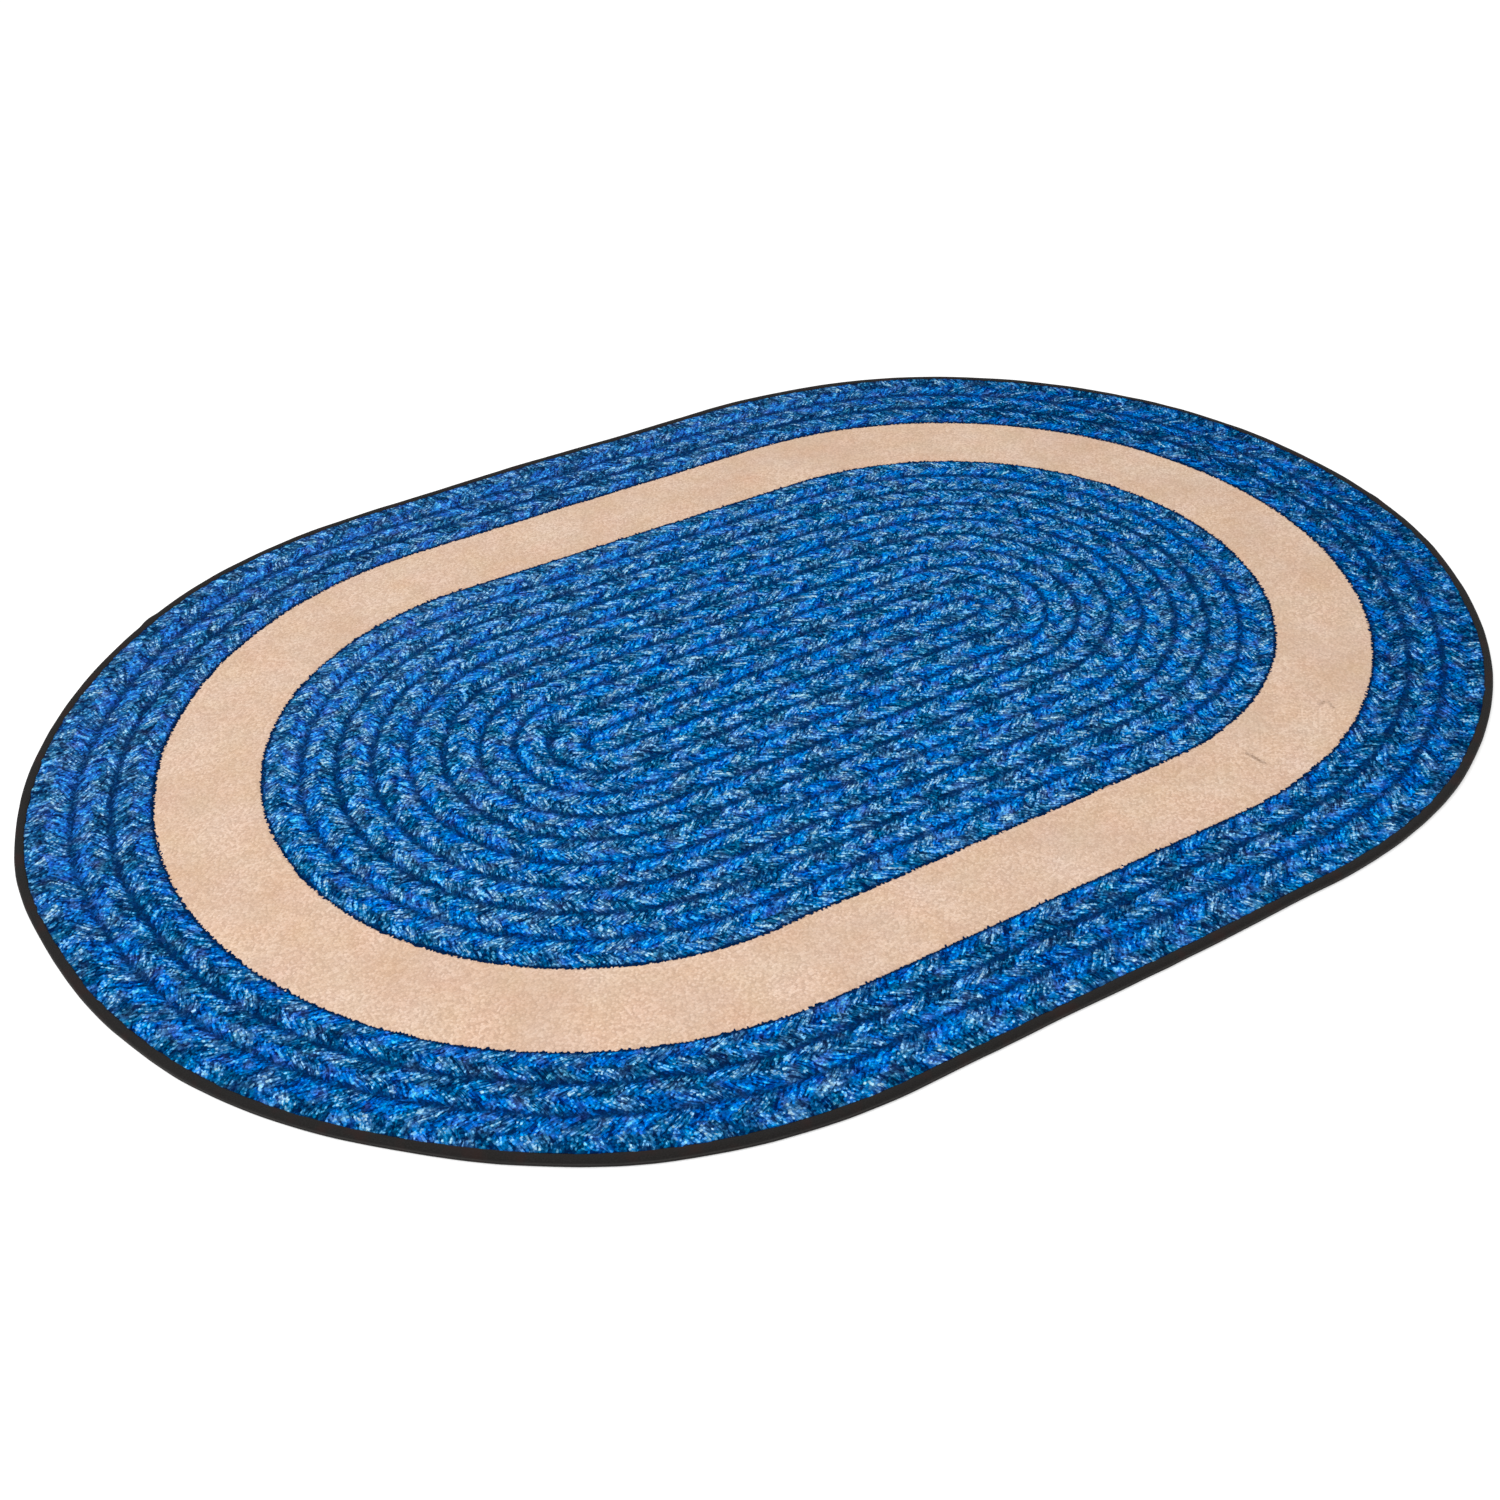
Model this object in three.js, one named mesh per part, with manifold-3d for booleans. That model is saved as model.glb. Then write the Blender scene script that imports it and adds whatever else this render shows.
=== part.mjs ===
// Oval classroom rug: a cut-pile carpet with a bound edge, lying flat.
// Millimetres, +Z up. The origin is on the floor, at the middle of the rug; +X runs along its length.
import * as THREE from 'three';
import { mergeVertices } from 'three/addons/utils/BufferGeometryUtils.js';
import Module from 'manifold-3d';

const wasm = await Module();
wasm.setup();

// ---- driving dimensions ----
const HALF_STRAIGHT = 235.5;    // half of each straight side
const END_RADIUS = 579.5;       // round ends, and half of the width, to the outside of the binding
const PILE_HEIGHT = 9;          // underside of the backing to the tips of the pile
const FIT_GAP = 0.3;            // free space between the carpet and its binding

const BINDING_HEIGHT = 9;       // the bound edge is as high as the pile
const BINDING_LIP = 10;         // how far the tape reaches in over the carpet, above and below
const BINDING_WALL = 1.5;       // tape and stitching together
const BINDING_ROUNDING = 2.5;   // outside corners of the folded tape

const END_STEPS = 72;           // facets round each end
const STRAIGHT_STEPS = 8;       // facets along each straight side
const ROUNDING_STEPS = 3;       // facets over each rounded corner

// The cut edge isn't a true oval. Each row gives how far it stands out (or in) at one place,
// found by its turn round the middle of the rug from +X, counter-clockwise.
const EDGE_DRIFT = [
  { turn: 0, offset: 6.4 },
  { turn: 18, offset: 11 },
  { turn: 44, offset: 14.6 },
  { turn: 62, offset: 8 },
  { turn: 78, offset: 5 },
  { turn: 92, offset: 6.4 },
  { turn: 115, offset: 0.6 },
  { turn: 133, offset: 5.4 },
  { turn: 147, offset: 3.4 },
  { turn: 170, offset: 5.6 },
  { turn: 184, offset: -3.2 },
  { turn: 195, offset: -4.6 },
  { turn: 213, offset: -10.8 },
  { turn: 230, offset: -4.6 },
  { turn: 260, offset: -5.2 },
  { turn: 275, offset: -4.2 },
  { turn: 294, offset: -7.2 },
  { turn: 312, offset: -4.3 },
  { turn: 334, offset: -1.2 },
  { turn: 352, offset: 5.2 },
];

// ---- outline ----
const FULL_TURN = 360;

function edgeDrift(turn) {
  // offset of the edge at a turn in degrees: a smooth step from each row of the table to the next
  const count = EDGE_DRIFT.length;
  const angle = THREE.MathUtils.euclideanModulo(turn, FULL_TURN);
  let index = count - 1;
  while (EDGE_DRIFT[index].turn > angle) {
    index -= 1;
  }
  const from = EDGE_DRIFT[index];
  const to = EDGE_DRIFT[(index + 1) % count];
  const span = THREE.MathUtils.euclideanModulo(to.turn - from.turn, FULL_TURN);
  const share = THREE.MathUtils.smoothstep(angle - from.turn, 0, span);
  return THREE.MathUtils.lerp(from.offset, to.offset, share);
}

function ovalPoint(middleX, angle, radius) {
  return new THREE.Vector2(middleX + radius * Math.cos(angle), radius * Math.sin(angle));
}

function ovalStations(radius) {
  // points round a true oval: the right end, the far side, the left end, the near side
  const points = [];
  for (let step = 0; step <= END_STEPS; step += 1) {
    points.push(ovalPoint(HALF_STRAIGHT, Math.PI * (step / END_STEPS - 0.5), radius));
  }
  for (let step = 1; step < STRAIGHT_STEPS; step += 1) {
    points.push(new THREE.Vector2(HALF_STRAIGHT * (1 - 2 * step / STRAIGHT_STEPS), radius));
  }
  for (let step = 0; step <= END_STEPS; step += 1) {
    points.push(ovalPoint(-HALF_STRAIGHT, Math.PI * (step / END_STEPS + 0.5), radius));
  }
  for (let step = 1; step < STRAIGHT_STEPS; step += 1) {
    points.push(new THREE.Vector2(HALF_STRAIGHT * (2 * step / STRAIGHT_STEPS - 1), -radius));
  }
  return points;
}

function outlinePoints(inset) {
  // the rug's cut edge moved in by the inset, each point shifted straight out by the drift there
  return ovalStations(END_RADIUS).map((edge) => {
    const middleX = THREE.MathUtils.clamp(edge.x, -HALF_STRAIGHT, HALF_STRAIGHT);
    const outward = new THREE.Vector2(edge.x - middleX, edge.y).normalize();
    const turn = THREE.MathUtils.radToDeg(edge.angle());
    return edge.clone().addScaledVector(outward, edgeDrift(turn) - inset);
  });
}

// the drift moves the outline off centre, so the whole rug is moved back over the origin
const edgeBox = new THREE.Box2().setFromPoints(outlinePoints(0));
const centre = edgeBox.getCenter(new THREE.Vector2());

function outline(inset) {
  return new THREE.Shape(outlinePoints(inset).map((point) => point.sub(centre)));
}

// ---- solids ----
function toSolid(geometry) {
  geometry.deleteAttribute('normal');
  geometry.deleteAttribute('uv');
  const merged = mergeVertices(geometry);
  const mesh = new wasm.Mesh({
    numProp: 3,
    vertProperties: new Float32Array(merged.attributes.position.array),
    triVerts: new Uint32Array(merged.index.array),
  });
  return new wasm.Manifold(mesh);
}

function toGeometry(solid) {
  const mesh = solid.getMesh();
  const geometry = new THREE.BufferGeometry();
  geometry.setAttribute('position', new THREE.BufferAttribute(mesh.vertProperties, 3));
  geometry.setIndex(new THREE.BufferAttribute(mesh.triVerts, 1));
  return geometry;
}

function slab(inset, bottom, top) {
  const geometry = new THREE.ExtrudeGeometry(outline(inset), { depth: top - bottom, bevelEnabled: false });
  geometry.translate(0, 0, bottom);
  return toSolid(geometry);
}

function roundedSlab(height, rounding) {
  // a slab as wide as the rug with its upper and lower edges rounded over
  const geometry = new THREE.ExtrudeGeometry(outline(rounding), {
    depth: height - 2 * rounding,
    bevelEnabled: true,
    bevelSize: rounding,
    bevelThickness: rounding,
    bevelSegments: ROUNDING_STEPS,
  });
  geometry.translate(0, 0, rounding);
  return toSolid(geometry);
}

// ---- the two pieces ----
function carpetGeometry() {
  // full thickness inside the tape, and a squeezed tongue that the tape is folded over
  const body = slab(BINDING_LIP + FIT_GAP, 0, PILE_HEIGHT);
  const tongueBottom = BINDING_WALL + FIT_GAP;
  const tongueTop = BINDING_HEIGHT - BINDING_WALL - FIT_GAP;
  const tongue = slab(BINDING_WALL + FIT_GAP, tongueBottom, tongueTop);
  return toGeometry(body.add(tongue));
}

function bindingGeometry() {
  // a folded tape, C-shaped in section, open towards the carpet
  const whole = roundedSlab(BINDING_HEIGHT, BINDING_ROUNDING);
  const insideFold = slab(BINDING_WALL, BINDING_WALL, BINDING_HEIGHT - BINDING_WALL);
  const overCarpet = slab(BINDING_LIP, -PILE_HEIGHT, 2 * PILE_HEIGHT);
  return toGeometry(whole.subtract(insideFold).subtract(overCarpet));
}

function piece(name, geometry, color, roughness) {
  const material = new THREE.MeshStandardMaterial({ color, roughness, metalness: 0 });
  const mesh = new THREE.Mesh(geometry, material);
  mesh.name = name;
  return mesh;
}

const rug = new THREE.Group();
rug.add(piece('carpet', carpetGeometry(), 0x0a5fb4, 0.95));
rug.add(piece('edge_binding', bindingGeometry(), 0x262322, 0.8));

export default rug;
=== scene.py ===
# %% [markdown]
# # An oval classroom rug
#
# A cut-pile rug lies flat on the floor. Its pile is dyed to look like a braid wound round and
# round an oval, with one plain band, and a dark tape binds the cut edge.
# The CAD frame holds two plain solids, the carpet and its binding. Each cell below makes one
# piece or one finish over that frame: first the shapes, worked out with numpy, then the
# materials, then the light and the camera.

import math

import bpy
import numpy as np
from mathutils import Matrix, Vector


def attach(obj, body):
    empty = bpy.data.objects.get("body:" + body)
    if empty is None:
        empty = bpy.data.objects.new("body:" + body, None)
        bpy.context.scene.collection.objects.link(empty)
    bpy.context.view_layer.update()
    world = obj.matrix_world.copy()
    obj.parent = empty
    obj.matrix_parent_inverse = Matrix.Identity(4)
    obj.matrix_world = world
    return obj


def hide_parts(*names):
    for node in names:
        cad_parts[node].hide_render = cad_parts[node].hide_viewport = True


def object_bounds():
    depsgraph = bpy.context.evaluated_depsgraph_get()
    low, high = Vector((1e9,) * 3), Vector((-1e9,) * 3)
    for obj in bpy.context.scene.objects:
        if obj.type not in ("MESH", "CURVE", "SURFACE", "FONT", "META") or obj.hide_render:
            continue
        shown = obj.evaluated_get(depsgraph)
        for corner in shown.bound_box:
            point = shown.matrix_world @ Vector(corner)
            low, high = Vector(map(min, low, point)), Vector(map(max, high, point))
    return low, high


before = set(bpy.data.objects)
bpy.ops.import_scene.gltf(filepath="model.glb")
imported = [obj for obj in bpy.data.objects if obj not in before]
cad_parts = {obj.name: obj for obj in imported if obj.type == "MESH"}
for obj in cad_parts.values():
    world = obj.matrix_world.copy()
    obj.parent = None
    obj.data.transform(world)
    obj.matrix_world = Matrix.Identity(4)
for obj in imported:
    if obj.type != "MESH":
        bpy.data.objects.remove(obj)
cad_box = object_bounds()
print("solids in the frame:", ", ".join(sorted(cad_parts)))
print("box of the solids, m:", np.round(cad_box, 4).tolist())

# %% [markdown]
# ## The oval
#
# The rug is an oval with straight sides: every line in it keeps one distance from a short
# middle line. So a place on the rug needs two numbers, the station round the oval and the
# distance out from the middle line. This suits a wound braid much better than x and y.

# %% Sizes of the oval
MM = 0.001
HALF_STRAIGHT = 235.5 * MM
END_RADIUS = 579.5 * MM

STRAIGHT_STEPS = 156  # stations along one straight side of a finely modelled piece


def stations(end_steps, straight_steps):
    """Foot on the middle line and outward angle of every station, counter-clockwise.

    The right end turns through half a circle, the far side runs back along the middle line,
    then come the left end and the near side.
    """
    turned = np.pi * np.arange(end_steps) / end_steps
    along = HALF_STRAIGHT * (1 - 2 * np.arange(straight_steps) / straight_steps)
    ends = np.full(end_steps, HALF_STRAIGHT)
    quarter = np.full(straight_steps, np.pi / 2)
    foot = np.concatenate([ends, along, -ends, -along])
    angle = np.concatenate([turned - np.pi / 2, quarter, turned + np.pi / 2, 3 * quarter])
    return foot, angle


print("oval:", 2 * (HALF_STRAIGHT + END_RADIUS), "m long and", 2 * END_RADIUS, "m wide")

# %% [markdown]
# ## The cut edge
#
# The rug was cut out by hand, so its edge drifts a few millimetres in and out of a true oval.
# The drift is a short table of turns round the middle and offsets, joined by smooth steps.
# The braid near the edge follows it a little, because pile is pulled when the tape is sewn on.

# %% Drift of the cut edge
# turn in degrees from +X, offset in millimetres
EDGE_DRIFT = np.array(
    [
        (0, 6.4), (18, 11.0), (44, 14.6), (62, 8.0), (78, 5.0),
        (92, 6.4), (115, 0.6), (133, 5.4), (147, 3.4), (170, 5.6),
        (184, -3.2), (195, -4.6), (213, -10.8), (230, -4.6), (260, -5.2),
        (275, -4.2), (294, -7.2), (312, -4.3), (334, -1.2), (352, 5.2),
    ]
)


def smooth_step(share):
    """3 s^2 - 2 s^3, with s kept from 0 to 1: a step that starts and ends level."""
    share = np.clip(share, 0, 1)
    return share * share * (3 - 2 * share)


def turn_of(foot, angle):
    """Turn in degrees, from 0 to 360, of the place on the true oval that a station points at."""
    x = foot + END_RADIUS * np.cos(angle)
    return np.degrees(np.arctan2(END_RADIUS * np.sin(angle), x)) % 360


def edge_drift(foot, angle):
    """Offset of the cut edge in metres: a smooth step from each row of the table to the next."""
    turns, offsets = EDGE_DRIFT.T
    turn = turn_of(foot, angle)
    before = np.searchsorted(turns, turn, side="right") - 1
    after = (before + 1) % len(turns)
    span = (turns[after] - turns[before]) % 360
    step = smooth_step((turn - turns[before]) / span)
    return MM * (offsets[before] + (offsets[after] - offsets[before]) * step)


def outward_at(angle):
    """The outward direction, as x and y: the cosine and the sine of the outward angle."""
    return np.stack([np.cos(angle), np.sin(angle)], axis=-1)


def on_rug(foot, angle, radius):
    """x and y of a place: the foot, moved out by the radius along the outward angle."""
    return np.stack([foot + radius * np.cos(angle), radius * np.sin(angle)], axis=-1)


edge_foot, edge_angle = stations(end_steps=720, straight_steps=40)
edge_points = on_rug(edge_foot, edge_angle, END_RADIUS + edge_drift(edge_foot, edge_angle))
RUG_CENTRE = (edge_points.min(axis=0) + edge_points.max(axis=0)) / 2
print("the middle of the cut rug is off the oval's middle by", np.round(RUG_CENTRE, 5), "m")

# %% [markdown]
# ## The rows of the braid
#
# The braid looks like one plait after another: a centre plait, nine rows round it, the plain
# band, and three more rows. Each row repeats one tile: on one side of its mid-line a royal blue
# strand and a grey one, on the other a light blue, a pale and a dark teal strand, all leaning
# back from the mid-line like a row of arrowheads. Every third row is turned over. Round an end
# the tiles are a little shorter, and a new count starts there, so each row has a seam or two.

# %% Table of rows
ROW_PITCH = 36.26 * MM
CENTRE_HALF_WIDTH = 18.8 * MM
BAND_INSIDE = 348.0 * MM
BAND_OUTSIDE = 451.7 * MM
BORDER_LINES = np.array([491.0, 527.3, 574.0]) * MM  # outer lines of the rows past the band
BORDER_MIDDLES = np.array([471.4, 508.3, 550.6]) * MM
TILE_LENGTH = 69.9 * MM  # on the straight sides
LAST_FIELD_ROW = 9
OUTERMOST_ROW = 12

# for each row from the centre out: the tile's place at the middle of a straight side, its place
# where an end starts, the number of tiles round an end, and whether the row is turned over
ROWS = np.array(
    [
        (0.00, 0.36, 1.0, 0),
        (-0.04, 0.36, 3.0, 0),
        (-0.05, 0.32, 3.3, 1),
        (-0.02, 0.11, 6.7, 0),
        (0.01, 0.61, 8.8, 0),
        (0.01, 0.53, 10.8, 1),
        (0.04, 0.09, 12.8, 0),
        (0.01, 0.27, 15.8, 0),
        (0.00, 0.19, 17.8, 1),
        (0.03, 0.06, 18.8, 0),
        (0.38, 0.09, 21.9, 0),
        (0.37, 0.62, 22.9, 1),
        (0.40, 0.09, 24.0, 0),
    ]
)
SIDE_START, END_START, END_TILES = ROWS[:, :3].T
TURNED_OVER = ROWS[:, 3] > 0

field_lines = CENTRE_HALF_WIDTH + ROW_PITCH * np.arange(LAST_FIELD_ROW)
ROW_INSIDE = np.concatenate([[0], field_lines, [BAND_OUTSIDE], BORDER_LINES[:-1]])
ROW_OUTSIDE = np.concatenate([field_lines, [BAND_INSIDE], BORDER_LINES])
ROW_MIDDLE = (ROW_INSIDE + ROW_OUTSIDE) / 2
ROW_MIDDLE[0] = 0
ROW_MIDDLE[LAST_FIELD_ROW + 1 :] = BORDER_MIDDLES
print("tile length on the straight sides:", round(TILE_LENGTH / MM, 2), "mm")
print("row widths, mm:", np.round((ROW_OUTSIDE - ROW_INSIDE) / MM, 1).tolist())

# %% Place in the braid
RIGHT_END, FAR_SIDE, LEFT_END, NEAR_SIDE = range(4)
UPRIGHT_SHARE = 0.17  # tiles that the outermost strands are stood up again
HALF_WAY = 40  # tiles counted on from the far half to the near half, so that chances differ
PER_ROW = 100  # and from each row to the next


def braid_coordinates(row, section, foot, angle, radius):
    """Where a place is in the braid: tiles along the row, and -1 to 1 across it.

    Along a straight side the count of tiles is distance over tile length. Round an end it is
    the share of the half turn, times the number of tiles there.
    Also returns how fast both change, as vectors in x and y per metre.
    """
    turned = np.where(section == LEFT_END, angle - np.pi / 2, angle + np.pi / 2) / np.pi
    on_end = END_START[row] + END_TILES[row] * turned
    on_far_side = SIDE_START[row] - foot / TILE_LENGTH
    on_near_side = SIDE_START[row] + foot / TILE_LENGTH
    along = np.choose(
        section, [on_end + HALF_WAY, on_far_side, on_end, on_near_side + HALF_WAY]
    )
    along = along + PER_ROW * row
    straight = (section == FAR_SIDE) | (section == NEAR_SIDE)
    end_rate = END_TILES[row] / (np.pi * np.maximum(radius, MM))
    rate = np.where(straight, 1 / TILE_LENGTH, end_rate)
    outward = outward_at(angle)
    forward = np.stack([-outward[..., 1], outward[..., 0]], axis=-1)
    along_step = forward * rate[..., None]

    inner_half = ROW_MIDDLE[row] - ROW_INSIDE[row]
    outer_half = ROW_OUTSIDE[row] - ROW_MIDDLE[row]
    half_width = np.where(radius < ROW_MIDDLE[row], inner_half, outer_half)
    side = np.where(TURNED_OVER[row], -1.0, 1.0)
    across = side * (radius - ROW_MIDDLE[row]) / half_width
    across_step = outward * (side / half_width)[..., None]

    # in the outermost row the outer strands fall back less
    stood_up = np.where((row == OUTERMOST_ROW) & (across > 0), UPRIGHT_SHARE, 0)
    along = along + stood_up * across
    along_step = along_step + stood_up[..., None] * across_step

    # the centre plait runs straight along the middle line, its pale side nearest the front
    centre = row == 0
    place = on_rug(foot, angle, radius)
    along = np.where(centre, place[..., 0] / TILE_LENGTH, along)
    across = np.where(centre, -place[..., 1] / CENTRE_HALF_WIDTH, across)
    along_step[centre] = (1 / TILE_LENGTH, 0)
    across_step[centre] = (0, -1 / CENTRE_HALF_WIDTH)
    return along, across, along_step, across_step


tiles_round = 2 * END_TILES + 4 * HALF_STRAIGHT / TILE_LENGTH
print("tiles round each row:", np.round(tiles_round[1:], 1).tolist())

# %% [markdown]
# ## Laid a little off
#
# The braid isn't centred in the cut edge. Its middle, the two edges of the band and the cut edge
# each lie a few millimetres off, so every ring is moved by a small amount that depends on how
# far out it is. Near the edge it also takes a growing share of the drift.

# %% Places on the real rug
# distance out, and how far the rings there lie off in x and y, in millimetres
OFF_CENTRE = np.array([(0, 1.9, -3.3), (348, 1.3, 0.2), (451.7, 1.3, 1.8), (560, 0, 0)]) * MM
DRIFT_POWER = 0.7  # under 1, so that the drift is felt some way in from the edge


def laid_place(vertices):
    """x and y of each vertex: its ring's share of the drift, then its ring's small shift."""
    radius = vertices["radius"]
    share = np.clip((radius - BAND_OUTSIDE) / (END_RADIUS - BAND_OUTSIDE), 0, 1) ** DRIFT_POWER
    drift = edge_drift(vertices["foot"], vertices["angle"])
    place = on_rug(vertices["foot"], vertices["angle"], radius + share * drift)
    shift = [np.interp(radius, OFF_CENTRE[:, 0], OFF_CENTRE[:, axis]) for axis in (1, 2)]
    return place + np.column_stack(shift) - RUG_CENTRE


print("the braid's middle lies off, mm:", np.round(OFF_CENTRE[0, 1:] / MM, 1).tolist())

# %% [markdown]
# ## Carrying a profile round the oval
#
# Every piece of the rug is a closed profile, carried round the oval: out over the top, down the
# outer wall, and back underneath. Near the middle the rings get short, so the number of
# stations round an end halves as the rings shrink. Two neighbouring rings are zipped together
# with triangles, whether they have as many stations or one has twice as many.

# %% Zipping two rings
def zip_rings(first, second):
    """Triangles between two rows of vertex numbers that run the same way.

    Equal counts give two triangles a step, and a count that doubles or halves gives three.
    """
    if len(first) == len(second):
        a, b, c, d = first[:-1], second[:-1], second[1:], first[1:]
        return np.concatenate([np.stack([a, b, c], 1), np.stack([a, c, d], 1)])
    if len(first) < len(second):
        a, d = first[:-1], first[1:]
        b, middle, c = second[:-1:2], second[1::2], second[2::2]
        return np.concatenate(
            [np.stack([a, b, middle], 1), np.stack([a, middle, d], 1), np.stack([d, middle, c], 1)]
        )
    b, c = second[:-1], second[1:]
    a, middle, d = first[:-1:2], first[1::2], first[2::2]
    return np.concatenate(
        [np.stack([a, b, middle], 1), np.stack([middle, b, c], 1), np.stack([middle, c, d], 1)]
    )


four_to_eight = zip_rings(np.arange(5), np.arange(5, 14))
print("a row of 4 steps and one of 8 are zipped by", len(four_to_eight), "triangles")


# %% Carrying a profile round
def carry_round(radii, end_steps, straight_steps=STRAIGHT_STEPS, closed=True):
    """Vertices and triangles of a profile carried round the oval.

    Returns one record per vertex (ring, foot, angle, radius), and for each triangle its three
    vertices, the ring it starts from and the section of the oval that it lies in.
    """
    rings, feet, angles, loops, cuts = [], [], [], [], []
    count = 0
    for ring, steps in enumerate(end_steps):
        foot, angle = stations(steps, straight_steps)
        rings.append(np.full(len(foot), ring))
        feet.append(foot)
        angles.append(angle)
        loops.append(np.append(np.arange(count, count + len(foot)), count))
        cuts.append(np.cumsum([0, steps, straight_steps, steps, straight_steps]))
        count += len(foot)
    triangles, starts, sections = [], [], []
    for ring in range(len(radii) if closed else len(radii) - 1):
        for section in (RIGHT_END, FAR_SIDE, LEFT_END, NEAR_SIDE):
            pair = [
                loops[each][cuts[each][section] : cuts[each][section + 1] + 1]
                for each in (ring, (ring + 1) % len(radii))
            ]
            triangles.append(zip_rings(*pair))
            starts.append(np.full(len(triangles[-1]), ring))
            sections.append(np.full(len(triangles[-1]), section))
    vertices = {
        "ring": np.concatenate(rings),
        "foot": np.concatenate(feet),
        "angle": np.concatenate(angles),
        "radius": np.repeat(radii, [len(foot) for foot in feet]),
    }
    return vertices, np.concatenate(triangles), np.concatenate(starts), np.concatenate(sections)


example = carry_round(np.array([1.0, 2.0]), [8, 8], straight_steps=4)
print("two rings of 24 stations, joined both ways, have", len(example[1]), "triangles")

# %% From numbers to a mesh
SAME_PLACE = 1e-7  # in metres


def weld(points, triangles):
    """Merges vertices in one place, and says which triangles still have three corners."""
    keys = np.round(points / SAME_PLACE).astype(np.int64)
    _, kept, number = np.unique(keys, axis=0, return_index=True, return_inverse=True)
    triangles = number.reshape(-1)[triangles]
    a, b, c = triangles.T
    whole = (a != b) & (b != c) & (c != a)
    return points[kept], triangles[whole], whole


def make_mesh(name, points, triangles, corner_maps, corner_values):
    """A smooth-shaded object from points and triangles.

    corner_maps are UV maps and corner_values are named attributes, one value for each corner.
    """
    points, triangles, whole = weld(points, triangles)
    mesh = bpy.data.meshes.new(name)
    mesh.vertices.add(len(points))
    mesh.vertices.foreach_set("co", points.astype(np.float32).ravel())
    mesh.loops.add(triangles.size)
    mesh.loops.foreach_set("vertex_index", triangles.astype(np.int32).ravel())
    mesh.polygons.add(len(triangles))
    mesh.polygons.foreach_set("loop_start", np.arange(0, triangles.size, 3, dtype=np.int32))
    mesh.polygons.foreach_set("use_smooth", np.ones(len(triangles), dtype=bool))
    mesh.update(calc_edges=True)
    for label, values in corner_maps.items():
        layer = mesh.uv_layers.new(name=label)
        layer.uv.foreach_set("vector", values[whole].astype(np.float32).ravel())
    for label, values in corner_values.items():
        kind, field = ("FLOAT_VECTOR", "vector") if values.ndim == 3 else ("FLOAT", "value")
        attribute = mesh.attributes.new(label, kind, "CORNER")
        attribute.data.foreach_set(field, values[whole].astype(np.float32).ravel())
    mesh.validate(clean_customdata=False)
    made = bpy.data.objects.new(name, mesh)
    bpy.context.scene.collection.objects.link(made)
    print(name, "has", len(points), "vertices and", len(triangles), "triangles")
    return made


print("vertices become one within", SAME_PLACE, "m")

# %% [markdown]
# ## Relief of the pile
#
# Real tufts stand up from the backing and lean on each other. The darker lines between the rows
# are a touch lower, every strand of the plait is a little plump, and no two tufts are quite as
# tall. All of it is only a millimetre or so, but it catches the light, so it is in the mesh.
# Single tufts are far too many to model and come with the material.

# %% Heights of the pile
PILE_ROOT = 1.9 * MM
LINE_HEIGHT = 7.6 * MM
CROWN = 0.95 * MM
STRAND_PLUMPNESS = 0.3 * MM
BAND_CROWN = 1.1 * MM
TUFT_UNEVENNESS = 0.11 * MM
SWELL = 0.1 * MM

print("a row rises from", LINE_HEIGHT / MM, "to", round((LINE_HEIGHT + CROWN) / MM, 2), "mm")

# %% Plump strands
INNER_CUTS = np.array([0.31, 0.83, 1.31])  # where the royal strand starts, then the grey one
OUTER_CUTS = np.array([0.12, 0.385, 0.61, 1.12])  # the light, the pale and the teal strand
LEAN = 0.28  # tiles that a strand falls back between the mid-line and the row line
LEAN_SWING = 0.085  # the grey strand leans more than that, the royal one less
STEEPEST = 0.12  # where along the tile the lean swings most
MID_LINE_DIP = 0.25  # share of the half width over which strands rise from the mid-line


def leaning_place(along, across):
    """Place along the tile once the strands are stood upright: the lean is taken off.

    along - LEAN |across| + LEAN_SWING across cos(2 pi (along - STEEPEST))
    It takes arrays here, and in the materials the numbers that nodes give.
    """
    swing = LEAN_SWING * across * np.cos(2 * np.pi * (along - STEEPEST))
    return along - LEAN * np.abs(across) + swing


def share_of_strand(leaning, cuts):
    """Share of the way over a strand, given where along the tile the strands start."""
    place = (leaning - cuts[0]) % 1 + cuts[0]
    number = np.clip(np.searchsorted(cuts, place, side="right") - 1, 0, len(cuts) - 2)
    return (place - cuts[number]) / (cuts[number + 1] - cuts[number])


def plumpness(share):
    """Height across one strand: the root of a half wave, so it is full with soft edges."""
    return np.sqrt(np.abs(np.sin(np.pi * np.clip(share, 0, 1))))


def strand_relief(along, across):
    """How plump the pile is at a place in the tile, 0 between strands and 1 on a strand."""
    leaning = leaning_place(along, across)
    inner = plumpness(share_of_strand(leaning, INNER_CUTS))
    outer = plumpness(share_of_strand(leaning, OUTER_CUTS))
    return np.where(across > 0, outer, inner) * smooth_step(np.abs(across) / MID_LINE_DIP)


print("a strand falls back by", round(LEAN * TILE_LENGTH / MM, 1), "mm on its way to the row line")

# %% Height at a place
random = np.random.default_rng(20)


def swell(points):
    """A long low wave over the whole rug, from -1 to 1: it never lies perfectly flat."""
    x, y = points[:, 0], points[:, 1]
    return (np.sin(9 * x + 3 * y) + np.sin(13 * y - 5 * x + 1) + np.sin(21 * x + 17 * y + 2)) / 3


def crown(share):
    """Height over a row: 1 on the mid-line, falling faster and faster to 0 on the row line."""
    return 1 - np.clip(share, 0, 1) ** 3


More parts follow.
